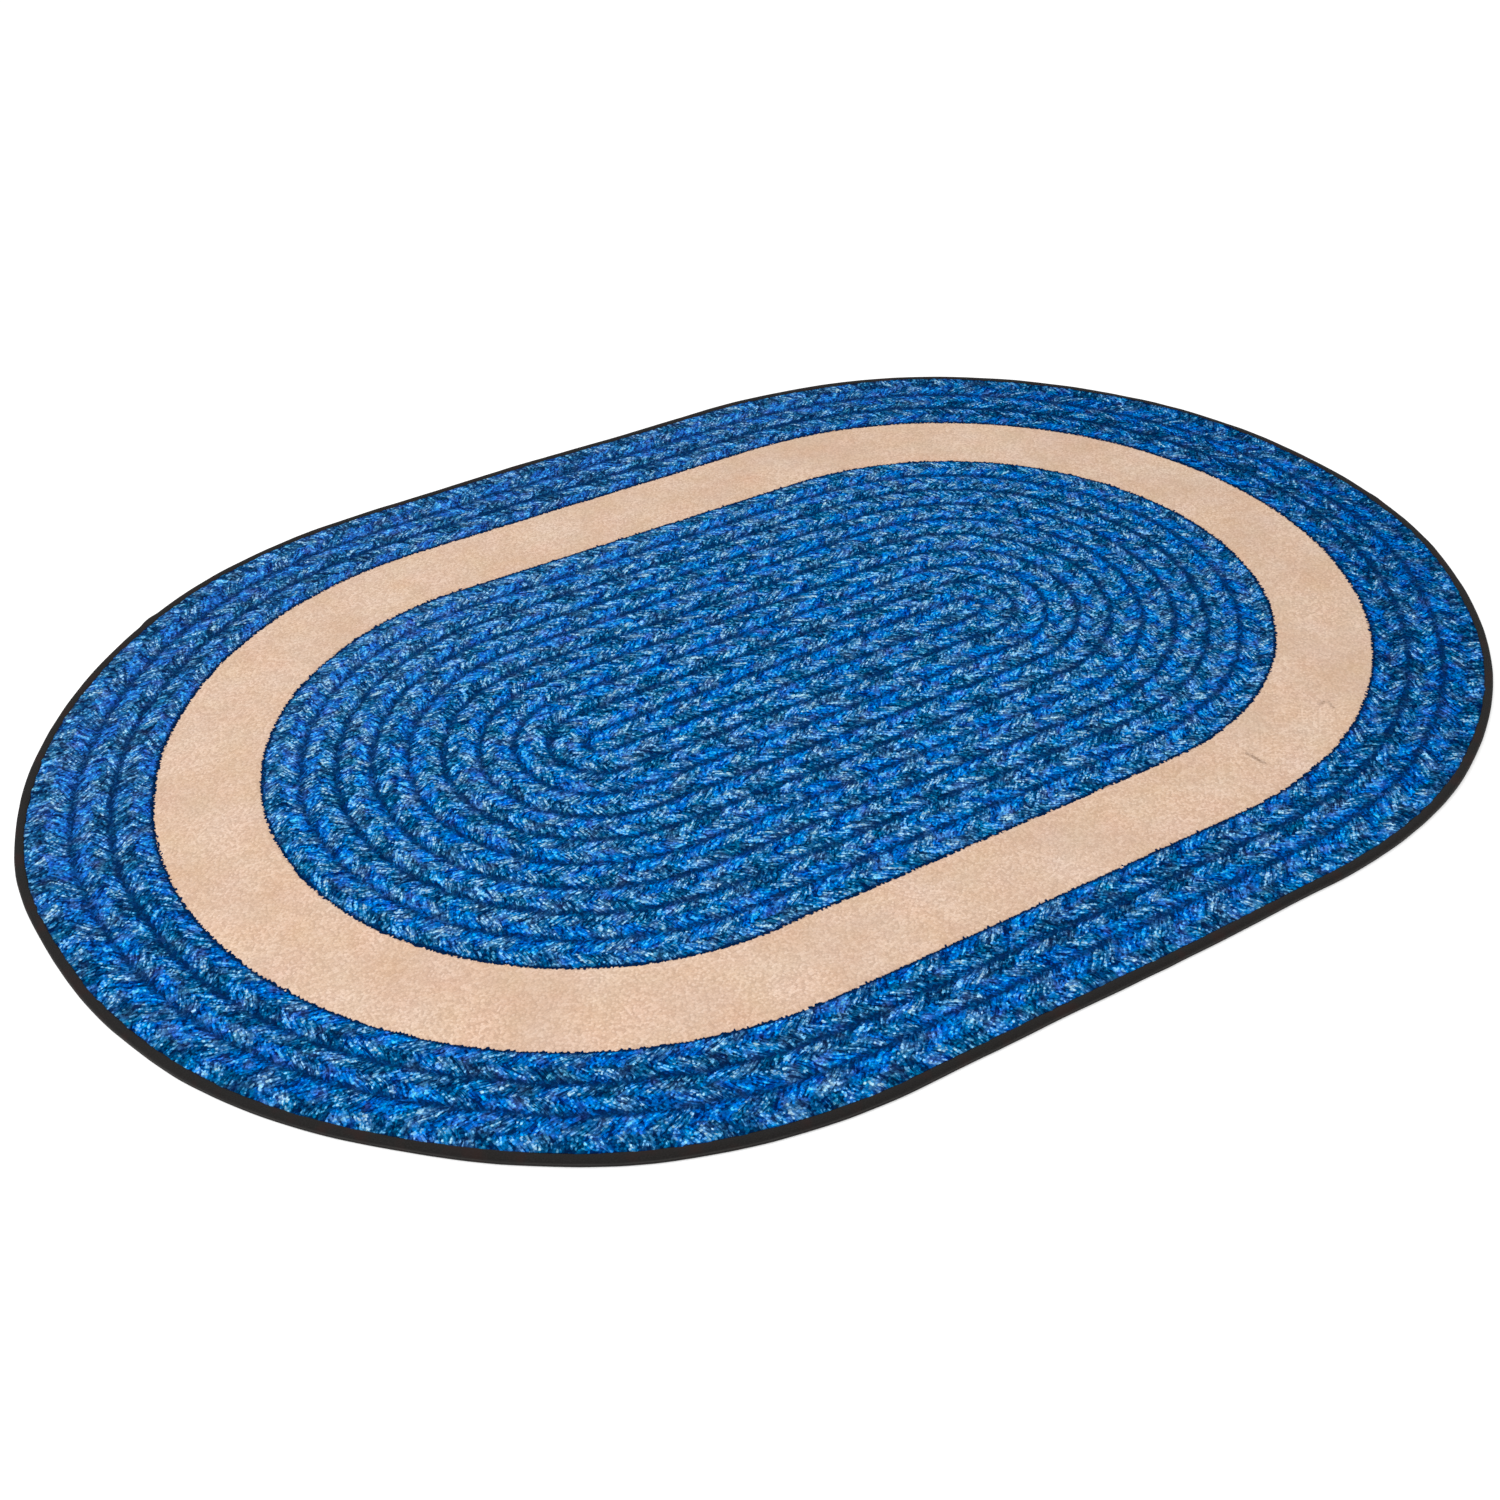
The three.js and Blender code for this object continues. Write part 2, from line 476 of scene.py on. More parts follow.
def section_of(vertices):
    """Which section of the oval each vertex starts: an end where it points along, else a side."""
    angle = vertices["angle"] % (2 * np.pi)
    sideways = np.isclose(angle, np.pi / 2) | np.isclose(angle, 3 * np.pi / 2)
    ends = np.where(vertices["foot"] > 0, RIGHT_END, LEFT_END)
    sides = np.where(angle < np.pi, FAR_SIDE, NEAR_SIDE)
    return np.where(sideways, sides, ends)


def pile_height(vertices, points, rows):
    """z of the top of the pile at each vertex, from the crown, the strands and the tufts."""
    along, across, _, _ = braid_coordinates(
        rows, section_of(vertices), vertices["foot"], vertices["angle"], vertices["radius"]
    )
    to_line = np.where(rows == 0, vertices["radius"] / CENTRE_HALF_WIDTH, np.abs(across))
    dome = crown(to_line)
    strands = strand_relief(along, across)
    tufts = np.clip(random.normal(size=len(points)), -2, 2)
    tufts = np.where(vertices["radius"] > 0, tufts, 0)
    return (
        LINE_HEIGHT
        + dome * (CROWN + STRAND_PLUMPNESS * strands + TUFT_UNEVENNESS * tufts)
        + SWELL * swell(points)
    )


print("half way to the row line the crown still has", crown(0.5), "of its height")

# %% [markdown]
# ## Braided field
#
# The middle of the rug is the centre plait and nine rows. Its rings lie on every row line and
# mid-line, with finer ones between, about three millimetres apart. Two maps go with the mesh.
# One says where each place is in the braid, for the material. The other is flat, for baking.

# %% Rings of the braid
SPANS = 6  # between a mid-line and a row line


def row_radii(rows, spans):
    """Radii from each row's inner line to its outer line, with rings on lines and mid-lines."""
    radii = [ROW_INSIDE[rows[0]]]
    span_rows = []
    for row in rows:
        cuts = [ROW_INSIDE[row], ROW_MIDDLE[row], ROW_OUTSIDE[row]] if row else [0, ROW_OUTSIDE[0]]
        for start, end in zip(cuts[:-1], cuts[1:]):
            radii.extend(np.linspace(start, end, spans + 1)[1:])
            span_rows.extend([row] * spans)
    return np.array(radii), np.array(span_rows)


def end_steps_for(radii, finest, largest):
    """Stations round an end: the finest count, halved each time the radius halves."""
    halvings = np.ceil(np.log2(largest / np.maximum(radii, largest / 16))).astype(int)
    return finest // 2 ** np.clip(halvings, 0, 4)


print("the rings of a row are", round(ROW_PITCH / 2 / SPANS / MM, 2), "mm apart")


# %% Maps of the braid
def into_band(radius):
    """Distance into the plain band from its nearer edge, negative outside the band."""
    return np.minimum(radius - BAND_INSIDE, BAND_OUTSIDE - radius)


def level(vectors):
    """The same vectors in x and y, with a z of 0."""
    return np.concatenate([vectors, np.zeros(vectors.shape[:-1] + (1,))], axis=-1)


def braid_maps(vertices, triangles, starts, sections, span_rows, band_side):
    """Where every corner of every triangle is in the braid, and the values that go with it.

    Past the line is the radius less that of the row line nearest to the triangle. The side of
    the band is 1 inside it and -1 outside.
    """
    row = span_rows[starts]
    rows = np.repeat(row[:, None], 3, axis=1)
    section = np.repeat(sections[:, None], 3, axis=1)
    foot, angle, radius = (vertices[name][triangles] for name in ("foot", "angle", "radius"))
    along, across, along_step, across_step = braid_coordinates(rows, section, foot, angle, radius)

    middle = (radius.max(axis=1) + radius.min(axis=1)) / 2
    line = np.where(middle < ROW_MIDDLE[row], ROW_INSIDE[row], ROW_OUTSIDE[row])
    values = {
        "along_step": level(along_step),
        "across_step": level(across_step),
        "outward": level(outward_at(angle)),
        "past_line": radius - line[:, None],
        "into_band": into_band(radius),
        "band_side": np.full(triangles.shape, float(band_side)),
    }
    return np.stack([along, across], axis=-1), values


deepest = into_band((BAND_INSIDE + BAND_OUTSIDE) / 2)
print("the middle of the band is", round(deepest / MM, 2), "mm in from its edges")

# %% Shape of the field
FIELD_END_STEPS = 352
FINEST_FROM = BAND_INSIDE / 1.9  # how far out the finest count of stations starts
UNDERSIDE_SHARES = np.array([1, 0.8, 0.45, 0.2, 0.08, 0])
UNDERSIDE_HALVINGS = np.array([0, 0, 1, 2, 3, 4])

top_radii, top_rows = row_radii(range(LAST_FIELD_ROW + 1), SPANS)
field_radii = np.concatenate([top_radii, BAND_INSIDE * UNDERSIDE_SHARES])
field_steps = np.concatenate(
    [
        end_steps_for(top_radii, FIELD_END_STEPS, FINEST_FROM),
        FIELD_END_STEPS // 2**UNDERSIDE_HALVINGS,
    ]
)
field_rows = np.append(top_rows, np.full(len(UNDERSIDE_SHARES), LAST_FIELD_ROW))
vertices, triangles, starts, sections = carry_round(field_radii, field_steps, closed=False)
on_top = vertices["ring"] < len(top_radii)
flat_place = laid_place(vertices)
vertex_rows = field_rows[np.maximum(vertices["ring"] - 1, 0)]
height = np.where(on_top, pile_height(vertices, flat_place, vertex_rows), PILE_ROOT)
points = np.column_stack([flat_place, height])
lowest, highest = height[on_top].min(), height[on_top].max()
print("the field stands from", round(lowest / MM, 2), "to", round(highest / MM, 2), "mm high")


# %% Mesh of the field
def lying_flat(place, triangles, is_hidden, shown_at, hidden_at, shrunk):
    """A flat map: what shows at full size over most of the sheet, what is hidden small below it."""
    shown = place + shown_at
    hidden = place * shrunk + hidden_at
    return np.where(is_hidden[:, None, None], hidden[triangles], shown[triangles])


WALL_ON_MAP = 8 * MM
MAP_MARGIN = 12 * MM

braid_map, braid_values = braid_maps(vertices, triangles, starts, sections, field_rows, 1)
underneath = vertices["ring"] >= len(top_radii)
on_map = vertices["radius"] + np.where(underneath, WALL_ON_MAP, 0)
on_map = on_rug(vertices["foot"], vertices["angle"], on_map)
bake_map = lying_flat(
    on_map / (2 * (HALF_STRAIGHT + BAND_INSIDE + MAP_MARGIN)),
    triangles,
    is_hidden=starts >= len(top_radii),
    shown_at=(0.5, 0.68),
    hidden_at=(0.25, 0.16),
    shrunk=(-0.4, 0.4),
)
braid_field = make_mesh(
    "braid_field", points, triangles, {"Braid": braid_map, "OFBake": bake_map}, braid_values
)

# %% [markdown]
# ## Plain band
#
# The band is the same pile in one undyed colour, a little over ten centimetres wide. It meets
# the field and the border along the dark lines at its edges, where the pile dips. The mesh
# shares those edges exactly. For baking, a ring is cut into lengths that lie side by side.

# %% A ring as strips
STRIP_MARGINS = (0.004, 0.03)  # free share at the ends of a strip and beside it


def counted_on(station, count):
    """Stations of each triangle, where the last step counts on instead of starting again at 0."""
    wraps = station.max(axis=1) - station.min(axis=1) > count / 2
    return np.where(wraps[:, None] & (station == 0), count, station)


def profile_widths(radii, shown, hidden_width):
    """Width of each part of a closed profile: as it is where it shows, else a plain width."""
    widths = np.abs(np.diff(np.append(radii, radii[0])))
    return np.where(np.arange(len(widths)) < shown, widths, hidden_width)


def side_by_side(vertices, triangles, starts, widths, strips):
    """A map of a ring as strips, one above another.

    Along is the station's share of the whole way round, across is the width walked over the
    profile, and each strip takes its share of stations and an equal height of the sheet.
    """
    ring = vertices["ring"]
    count = len(ring) // len(widths)
    station = counted_on((np.arange(len(ring)) % count)[triangles], count)
    per_strip = count // strips
    strip = np.minimum(station.min(axis=1) // per_strip, strips - 1)[:, None]
    share = (station - strip * per_strip) / per_strip
    walked = np.concatenate([[0], np.cumsum(widths)])
    closing = (starts == len(widths) - 1)[:, None]
    across = np.where(closing & (ring[triangles] == 0), 1, (walked / walked[-1])[ring[triangles]])
    at_ends, beside = STRIP_MARGINS
    along = at_ends + share * (1 - 2 * at_ends)
    return np.stack([along, (strip + beside + (1 - 2 * beside) * across) / strips], axis=-1)


print("a strip fills", 1 - 2 * STRIP_MARGINS[1], "of its height on the sheet")

# %% Mesh of the band
BAND_END_STEPS = FIELD_END_STEPS
BAND_STRIPS = 4  # lengths that the bake's map cuts it into
BAND_EDGE = 3.5 * MM  # how far in from its edges the band comes up to its full height

band_share = np.concatenate([[0, 0.012, 0.03], np.linspace(0.06, 0.94, 22), [0.97, 0.988, 1]])
band_top = BAND_INSIDE + (BAND_OUTSIDE - BAND_INSIDE) * band_share
band_radii = np.concatenate([band_top, [BAND_OUTSIDE, BAND_INSIDE]])
band_steps = np.full(len(band_radii), BAND_END_STEPS)
vertices, triangles, starts, sections = carry_round(band_radii, band_steps)
on_top = vertices["ring"] < len(band_top)
flat_place = laid_place(vertices)
depth = into_band(vertices["radius"])
tufts = np.clip(random.normal(size=len(depth)), -2, 2) * TUFT_UNEVENNESS
rise = smooth_step(depth / BAND_EDGE)
top = LINE_HEIGHT + rise * (BAND_CROWN + tufts) + SWELL * swell(flat_place)
points = np.column_stack([flat_place, np.where(on_top, top, PILE_ROOT)])

radius = vertices["radius"][triangles]
inner_half = radius.mean(axis=1) < (BAND_INSIDE + BAND_OUTSIDE) / 2
outward = level(outward_at(vertices["angle"][triangles]))
band_values = {
    "into_band": into_band(radius),
    "inward": outward * np.where(inner_half, 1, -1)[:, None, None],
}
widths = profile_widths(band_radii, len(band_top) - 1, hidden_width=4 * MM)
bake_map = side_by_side(vertices, triangles, starts, widths, BAND_STRIPS)
plain_band = make_mesh("plain_band", points, triangles, {"OFBake": bake_map}, band_values)

# %% [markdown]
# ## Braided border
#
# Three more rows run round outside the band. The outermost row is wider and follows the cut
# edge. Its last tufts lean out over the tape, a little further at the far right, where the tape
# is nearly covered, and the squeezed edge of the carpet goes on inside the folded tape.

# %% Edge of the border
TAPE_LIP = 10.0 * MM
FIT_GAP = 0.3 * MM
CARPET_EDGE = END_RADIUS - 2 * MM  # where the squeezed tongue ends, in the fold of the tape
OUTERMOST_TIPS = END_RADIUS - TAPE_LIP - FIT_GAP  # where the last tufts stand, beside the lip

# distance out and height: the leaning tips, back under them, down beside the lip, and then the
# squeezed tongue and the way back
BORDER_EDGE = [
    (OUTERMOST_TIPS, 8.15 * MM),
    (OUTERMOST_TIPS, 7.7 * MM),
    (OUTERMOST_TIPS, 6.2 * MM),
    (CARPET_EDGE, 6.2 * MM),
    (CARPET_EDGE, 3.2 * MM),
    (OUTERMOST_TIPS, 3.2 * MM),
    (OUTERMOST_TIPS - 2 * MM, PILE_ROOT),
    (BAND_OUTSIDE, PILE_ROOT),
]
TIP_LEAN = 0.7  # how far the last tufts lean out over the tape, in millimetres
TIP_RAGGED = 0.75
TIP_LEAN_RANGE = (0.1, 3.4)
TIP_RISE = 0.2  # a tuft that leans out over the lip lies a little higher on it
# turn, how far round the rug it reaches, and how much further out the tufts lean there, in mm
TIP_LEANS = [(16, 12, 2.3), (44, 9, 1.9), (32, 16, 1.0), (64, 18, -0.7)]


def bump_at(turn, middle, spread):
    """A smooth bump of height 1 round one turn of the rug, down to 0 a spread away."""
    away = np.abs((turn - middle + 180) % 360 - 180)
    return smooth_step(1 - away / spread)


print("the last tufts stand", round((END_RADIUS - OUTERMOST_TIPS) / MM, 1), "mm in from the edge")

# %% Mesh of the border
BORDER_END_STEPS = 480
BORDER_STRIPS = 6

border_top, border_rows = row_radii(range(LAST_FIELD_ROW + 1, OUTERMOST_ROW + 1), SPANS)
border_top = np.append(border_top[border_top < OUTERMOST_TIPS - 1 * MM], OUTERMOST_TIPS)
border_rows = border_rows[: len(border_top) - 1]
edge_radii, edge_heights = np.transpose(BORDER_EDGE)
border_radii = np.concatenate([border_top, edge_radii])
border_steps = np.full(len(border_radii), BORDER_END_STEPS)
vertices, triangles, starts, sections = carry_round(border_radii, border_steps)
ring = vertices["ring"]
last_top = len(border_top) - 1
flat_place = laid_place(vertices)
span_rows = np.append(border_rows, np.full(len(edge_heights) + 1, OUTERMOST_ROW))
top = pile_height(vertices, flat_place, span_rows[np.maximum(ring - 1, 0)])
below = edge_heights[np.clip(ring - last_top - 1, 0, len(edge_heights) - 1)]

count = 2 * (BORDER_END_STEPS + STRAIGHT_STEPS)
ragged = np.convolve(random.normal(size=count + 2), [0.25, 0.5, 0.25], mode="valid")
ragged = np.tile(ragged, len(border_radii))
turn = turn_of(vertices["foot"], vertices["angle"])
further = sum(more * bump_at(turn, middle, spread) for middle, spread, more in TIP_LEANS)
lean = np.clip(TIP_LEAN + TIP_RAGGED * ragged + further, *TIP_LEAN_RANGE) * MM
lean = np.where(ring == last_top + 1, lean, 0)
height = np.where(ring <= last_top, top, below) + TIP_RISE * lean
flat_place = flat_place + outward_at(vertices["angle"]) * lean[:, None]
points = np.column_stack([flat_place, height])

braid_map, braid_values = braid_maps(vertices, triangles, starts, sections, span_rows, -1)
widths = profile_widths(border_radii, last_top, hidden_width=2 * MM)
bake_map = side_by_side(vertices, triangles, starts, widths, BORDER_STRIPS)
braid_border = make_mesh(
    "braid_border", points, triangles, {"Braid": braid_map, "OFBake": bake_map}, braid_values
)

# %% [markdown]
# ## Backing
#
# The tufts stand in a woven cloth that is glued to a second, coarser one. It only shows from
# below. It is a thin slab, with an edge that steps up into the fold of the tape.

# %% Mesh of the backing
BACKING_STRAIGHT_STEPS = 40
BACKING_END_STEPS = 128
# distance out and height, both in millimetres: out over the top, into the fold, back below
BACKING_PROFILE = np.array(
    [
        (0, 2.0), (40, 2.0), (150, 2.0), (300, 2.0), (450, 2.0), (566.5, 2.0),
        (569.2, 3.3), (577.3, 3.3), (577.3, 1.8), (569.2, 1.8),
        (567.0, 0.0), (450, 0.0), (300, 0.0), (150, 0.0), (40, 0.0), (0, 0.0),
    ]
) * MM
HALVINGS = np.array([4, 3, 2, 1, 0, 0, 0, 0])  # of the stations round an end, from the middle out
MAP_SHARE = 0.98  # of the sheet's length, that the backing takes

backing_steps = BACKING_END_STEPS // 2 ** np.append(HALVINGS, HALVINGS[::-1])
vertices, triangles, starts, sections = carry_round(
    BACKING_PROFILE[:, 0], backing_steps, BACKING_STRAIGHT_STEPS, closed=False
)
points = np.column_stack([laid_place(vertices), BACKING_PROFILE[vertices["ring"], 1]])
bake_map = lying_flat(
    points[:, :2] / (cad_box[1][0] - cad_box[0][0]) * MAP_SHARE,
    triangles,
    is_hidden=starts < len(HALVINGS),
    shown_at=(0.5, 0.63),
    hidden_at=(0.2, 0.12),
    shrunk=0.3,
)
backing = make_mesh("backing", points, triangles, {"OFBake": bake_map}, {})

# %% [markdown]
# ## Edge binding
#
# A dark tape is folded over the cut edge and sewn through. Its section is a C: over the carpet,
# round the edge, and back below, with a fold of its own along the middle of the outside. The
# C is a closed profile, so the same carrying makes it. A join shows as a small bump at the right
# end, and the tape overlaps itself for a few centimetres at the far left.

# %% Section of the tape
# distance in from the cut edge and height, both in millimetres, round the C
TAPE_SECTION = np.array(
    [
        (10.0, 7.2), (9.85, 7.65), (9.3, 8.05), (8.3, 8.5), (7.0, 8.8),
        (5.2, 9.0), (3.4, 9.0), (2.1, 8.8), (1.25, 8.35), (0.65, 7.6),
        (0.35, 6.7), (0.22, 5.8), (0.0, 5.45), (0.0, 4.95), (0.22, 4.6),
        (0.22, 3.6), (0.3, 2.6), (0.6, 1.7), (1.2, 0.9), (2.1, 0.3),
        (3.2, 0.05), (5.5, 0.0), (10.0, 0.1), (10.0, 1.35), (2.2, 1.5),
        (1.55, 2.1), (1.45, 4.2), (1.55, 6.6), (2.2, 7.3), (9.8, 6.85),
    ]
) * MM
LIP_RING = 3  # up to here the lip keeps its place when the tape swells
TOP_RING = 8  # and up to here it rises
FOLD_RING = 12  # where the fold of the tape starts, counted down the section
LAST_OUTSIDE = 22  # the ring where the tape turns back over itself
HIDDEN_SHARE = 0.3  # of its true width, for what is hidden, on the map for baking

lengths = np.linalg.norm(np.diff(np.vstack([TAPE_SECTION, TAPE_SECTION[:1]]), axis=0), axis=1)
walked = np.concatenate([[0], np.cumsum(lengths[:-1])])


def oval_length(radius):
    """The way round an oval line at this distance from the middle line."""
    return 4 * HALF_STRAIGHT + 2 * math.pi * radius


# %% A wave along the tape
MOST_WAVES = 160.0  # round the rug: the shorter waves fade out
STEADY_STATIONS = 61  # the tape is even over this many stations


def soft_wave(count):
    """A random wave round the rug, from -2 to 2, that ends as it starts.

    Chances are summed up, a wave that fits n times round the rug fades by
    exp(-(n / MOST_WAVES)^2), and the average over the steady stations is taken off.
    """
    pull = np.cumsum(random.normal(size=count))
    pull = pull - np.linspace(0, pull[-1], count)
    times_round = np.minimum(np.arange(count), count - np.arange(count))
    fading = np.exp(-((times_round / MOST_WAVES) ** 2))
    wave = np.real(np.fft.ifft(np.fft.fft(pull) * fading))
    window = np.ones(STEADY_STATIONS) / STEADY_STATIONS
    wave = wave - np.convolve(np.tile(wave, 3), window, mode="same")[count : 2 * count]
    return np.clip(wave / wave.std(), -2, 2)


print("the tape has waves down to", round(oval_length(END_RADIUS) / MOST_WAVES / MM), "mm long")

# %% Mesh of the binding
BINDING_STRAIGHT_STEPS = 180
BINDING_END_STEPS = 680
BINDING_STRIPS = 8
JOIN_AT = (354.5, 1.3)  # turn, and how far round the rug it reaches
OVERLAP_AT = (139.2, 1.4)
WAVE_SWELL, JOIN_SWELL, OVERLAP_SWELL = 0.16, 0.7, 2.0  # how far the tape stands out, in mm
RISE_SHARE = 0.5  # how much the top of the tape rises as it stands out
TALLEST_RISE = 0.3 * MM

tape_radii = END_RADIUS - TAPE_SECTION[:, 0]
tape_steps = np.full(len(tape_radii), BINDING_END_STEPS)
vertices, triangles, starts, sections = carry_round(
    tape_radii, tape_steps, BINDING_STRAIGHT_STEPS
)
ring, foot, angle = (vertices[name] for name in ("ring", "foot", "angle"))
count = 2 * (BINDING_END_STEPS + BINDING_STRAIGHT_STEPS)
station = np.arange(len(ring)) % count
turn = turn_of(foot, angle)
swelling = WAVE_SWELL * soft_wave(count)[station]
swelling = swelling + JOIN_SWELL * bump_at(turn, *JOIN_AT)
swelling = swelling + OVERLAP_SWELL * bump_at(turn, *OVERLAP_AT)
swelling = np.where(ring <= LAST_OUTSIDE, swelling, 0) * MM
radius = vertices["radius"] + edge_drift(foot, angle) + swelling * (ring > LIP_RING)
rise = np.where(ring <= TOP_RING, np.minimum(swelling * RISE_SHARE, TALLEST_RISE), 0)
place = on_rug(foot, angle, radius) - RUG_CENTRE
points = np.column_stack([place, TAPE_SECTION[ring, 1] + rise])

way_round = counted_on(station[triangles], count) / count
tape_map = np.stack([way_round * oval_length(END_RADIUS), walked[ring][triangles]], axis=-1)
on_map = np.where(np.arange(len(lengths)) > LAST_OUTSIDE, lengths * HIDDEN_SHARE, lengths)
bake_map = side_by_side(vertices, triangles, starts, on_map, BINDING_STRIPS)
edge_binding = make_mesh(
    "edge_binding_tape", points, triangles, {"Tape": tape_map, "OFBake": bake_map}, {}
)

# %% [markdown]
# ## A kit for materials
#
# A material here is a network of small steps, and most of them are sums. In this little kit a
# number that a node gives can be added, multiplied and compared, and each sum adds one more
# node. So a recipe reads like the formula that it is. numpy's sine and cosine take such numbers
# too, and one formula can then serve for a shape and for its colour.

# %% Numbers from nodes
class Number:
    """A number that a node gives. A sum with it adds a node, and gives another such number."""

    def __init__(self, steps, socket):
        self.steps = steps
        self.socket = socket

    def __add__(self, other):
        return self.steps.math("ADD", self, other)

    def __sub__(self, other):
        return self.steps.math("SUBTRACT", self, other)

    def __rsub__(self, other):
        return self.steps.math("SUBTRACT", other, self)

    def __mul__(self, other):
        return self.steps.math("MULTIPLY", self, other)

    def __truediv__(self, other):
        return self.steps.math("DIVIDE", self, other)

    def __gt__(self, other):
        return self.steps.math("GREATER_THAN", self, other)

    def __lt__(self, other):
        return self.steps.math("LESS_THAN", self, other)

    def __abs__(self):
        return self.steps.math("ABSOLUTE", self)

    __radd__ = __add__
    __rmul__ = __mul__

    def sin(self):
        """The sine, which np.sin asks for."""
        return self.steps.math("SINE", self)

    def cos(self):
        """The cosine, which np.cos asks for."""
        return self.steps.math("COSINE", self)

    def fraction(self):
        """What is left past the whole number below."""
        return self.steps.math("FRACT", self)

    def kept(self):
        """The same number, kept from 0 to 1."""
        return self.steps.number("ShaderNodeClamp", {"Value": self})


print("a number from a node can be added, multiplied, divided and compared")

# %% Steps of a recipe
class Steps:
    """A network of nodes being written. Each method adds a node and returns what it gives."""

    def __init__(self, name, kind="materials"):
        self.made = getattr(bpy.data, kind).new(name)
        self.made.use_nodes = True
        self.tree = self.made.node_tree
        self.tree.nodes.clear()

    def add(self, kind, inputs=None, **settings):
        """One node, with its settings and its inputs, each a value or another output."""
        node = self.tree.nodes.new(kind)
        for label, value in settings.items():
            setattr(node, label, value)
        for label, value in (inputs or {}).items():
            value = value.socket if isinstance(value, Number) else value
            if isinstance(value, bpy.types.NodeSocket):
                self.tree.links.new(value, node.inputs[label])
            else:
                node.inputs[label].default_value = value
        return node

    def number(self, kind, inputs=None, output=0, **settings):
        """A node that gives a number."""
        return Number(self, self.add(kind, inputs, **settings).outputs[output])

    def numbers(self, kind, inputs):
        """A node that gives several numbers."""
        return [Number(self, output) for output in self.add(kind, inputs).outputs]

    def math(self, operation, *values):
        """One sum on numbers."""
        return self.number("ShaderNodeMath", dict(enumerate(values)), operation=operation)

    def vector(self, operation, *values):
        """One sum on vectors, with a vector for an answer."""
        inputs = dict(enumerate(values))
        return self.add("ShaderNodeVectorMath", inputs, operation=operation).outputs["Vector"]

    def scaled(self, vector, share):
        """A vector or a colour, made larger or smaller."""
        node = self.add("ShaderNodeVectorMath", {0: vector, "Scale": share}, operation="SCALE")
        return node.outputs["Vector"]

    def dot(self, first, second):
        """How far the first vector goes along the second."""
        inputs = {0: first, 1: second}
        return self.number("ShaderNodeVectorMath", inputs, "Value", operation="DOT_PRODUCT")

    def length(self, vector):
        """How long a vector is."""
        return self.number("ShaderNodeVectorMath", {0: vector}, "Value", operation="LENGTH")

    def join(self, x, y, z=0.0):
        """Three numbers as one vector."""
        return self.add("ShaderNodeCombineXYZ", {0: x, 1: y, 2: z}).outputs[0]

    def split(self, vector):
        """The x, y and z of a vector."""
        return self.numbers("ShaderNodeSeparateXYZ", {0: vector})

    def spread(self, value, low, high, start=0.0, end=1.0):
        """Smoothly from start to end while the value goes from low to high."""
        inputs = {"Value": value, "From Min": low, "From Max": high, "To Min": start, "To Max": end}
        return self.number("ShaderNodeMapRange", inputs, interpolation_type="SMOOTHSTEP")


print("the steps of a recipe are", ", ".join(name for name in vars(Steps) if name[0] != "_"))

# %% Places, patterns and colours
def srgb(red, green, blue):
    """A screen colour, 0 to 255, as the linear light that the shader works in."""
    share = np.clip(np.array([red, green, blue]) / 255, 0, 1)
    linear = np.where(share <= 0.04045, share / 12.92, ((share + 0.055) / 1.055) ** 2.4)
    return (*linear.tolist(), 1.0)


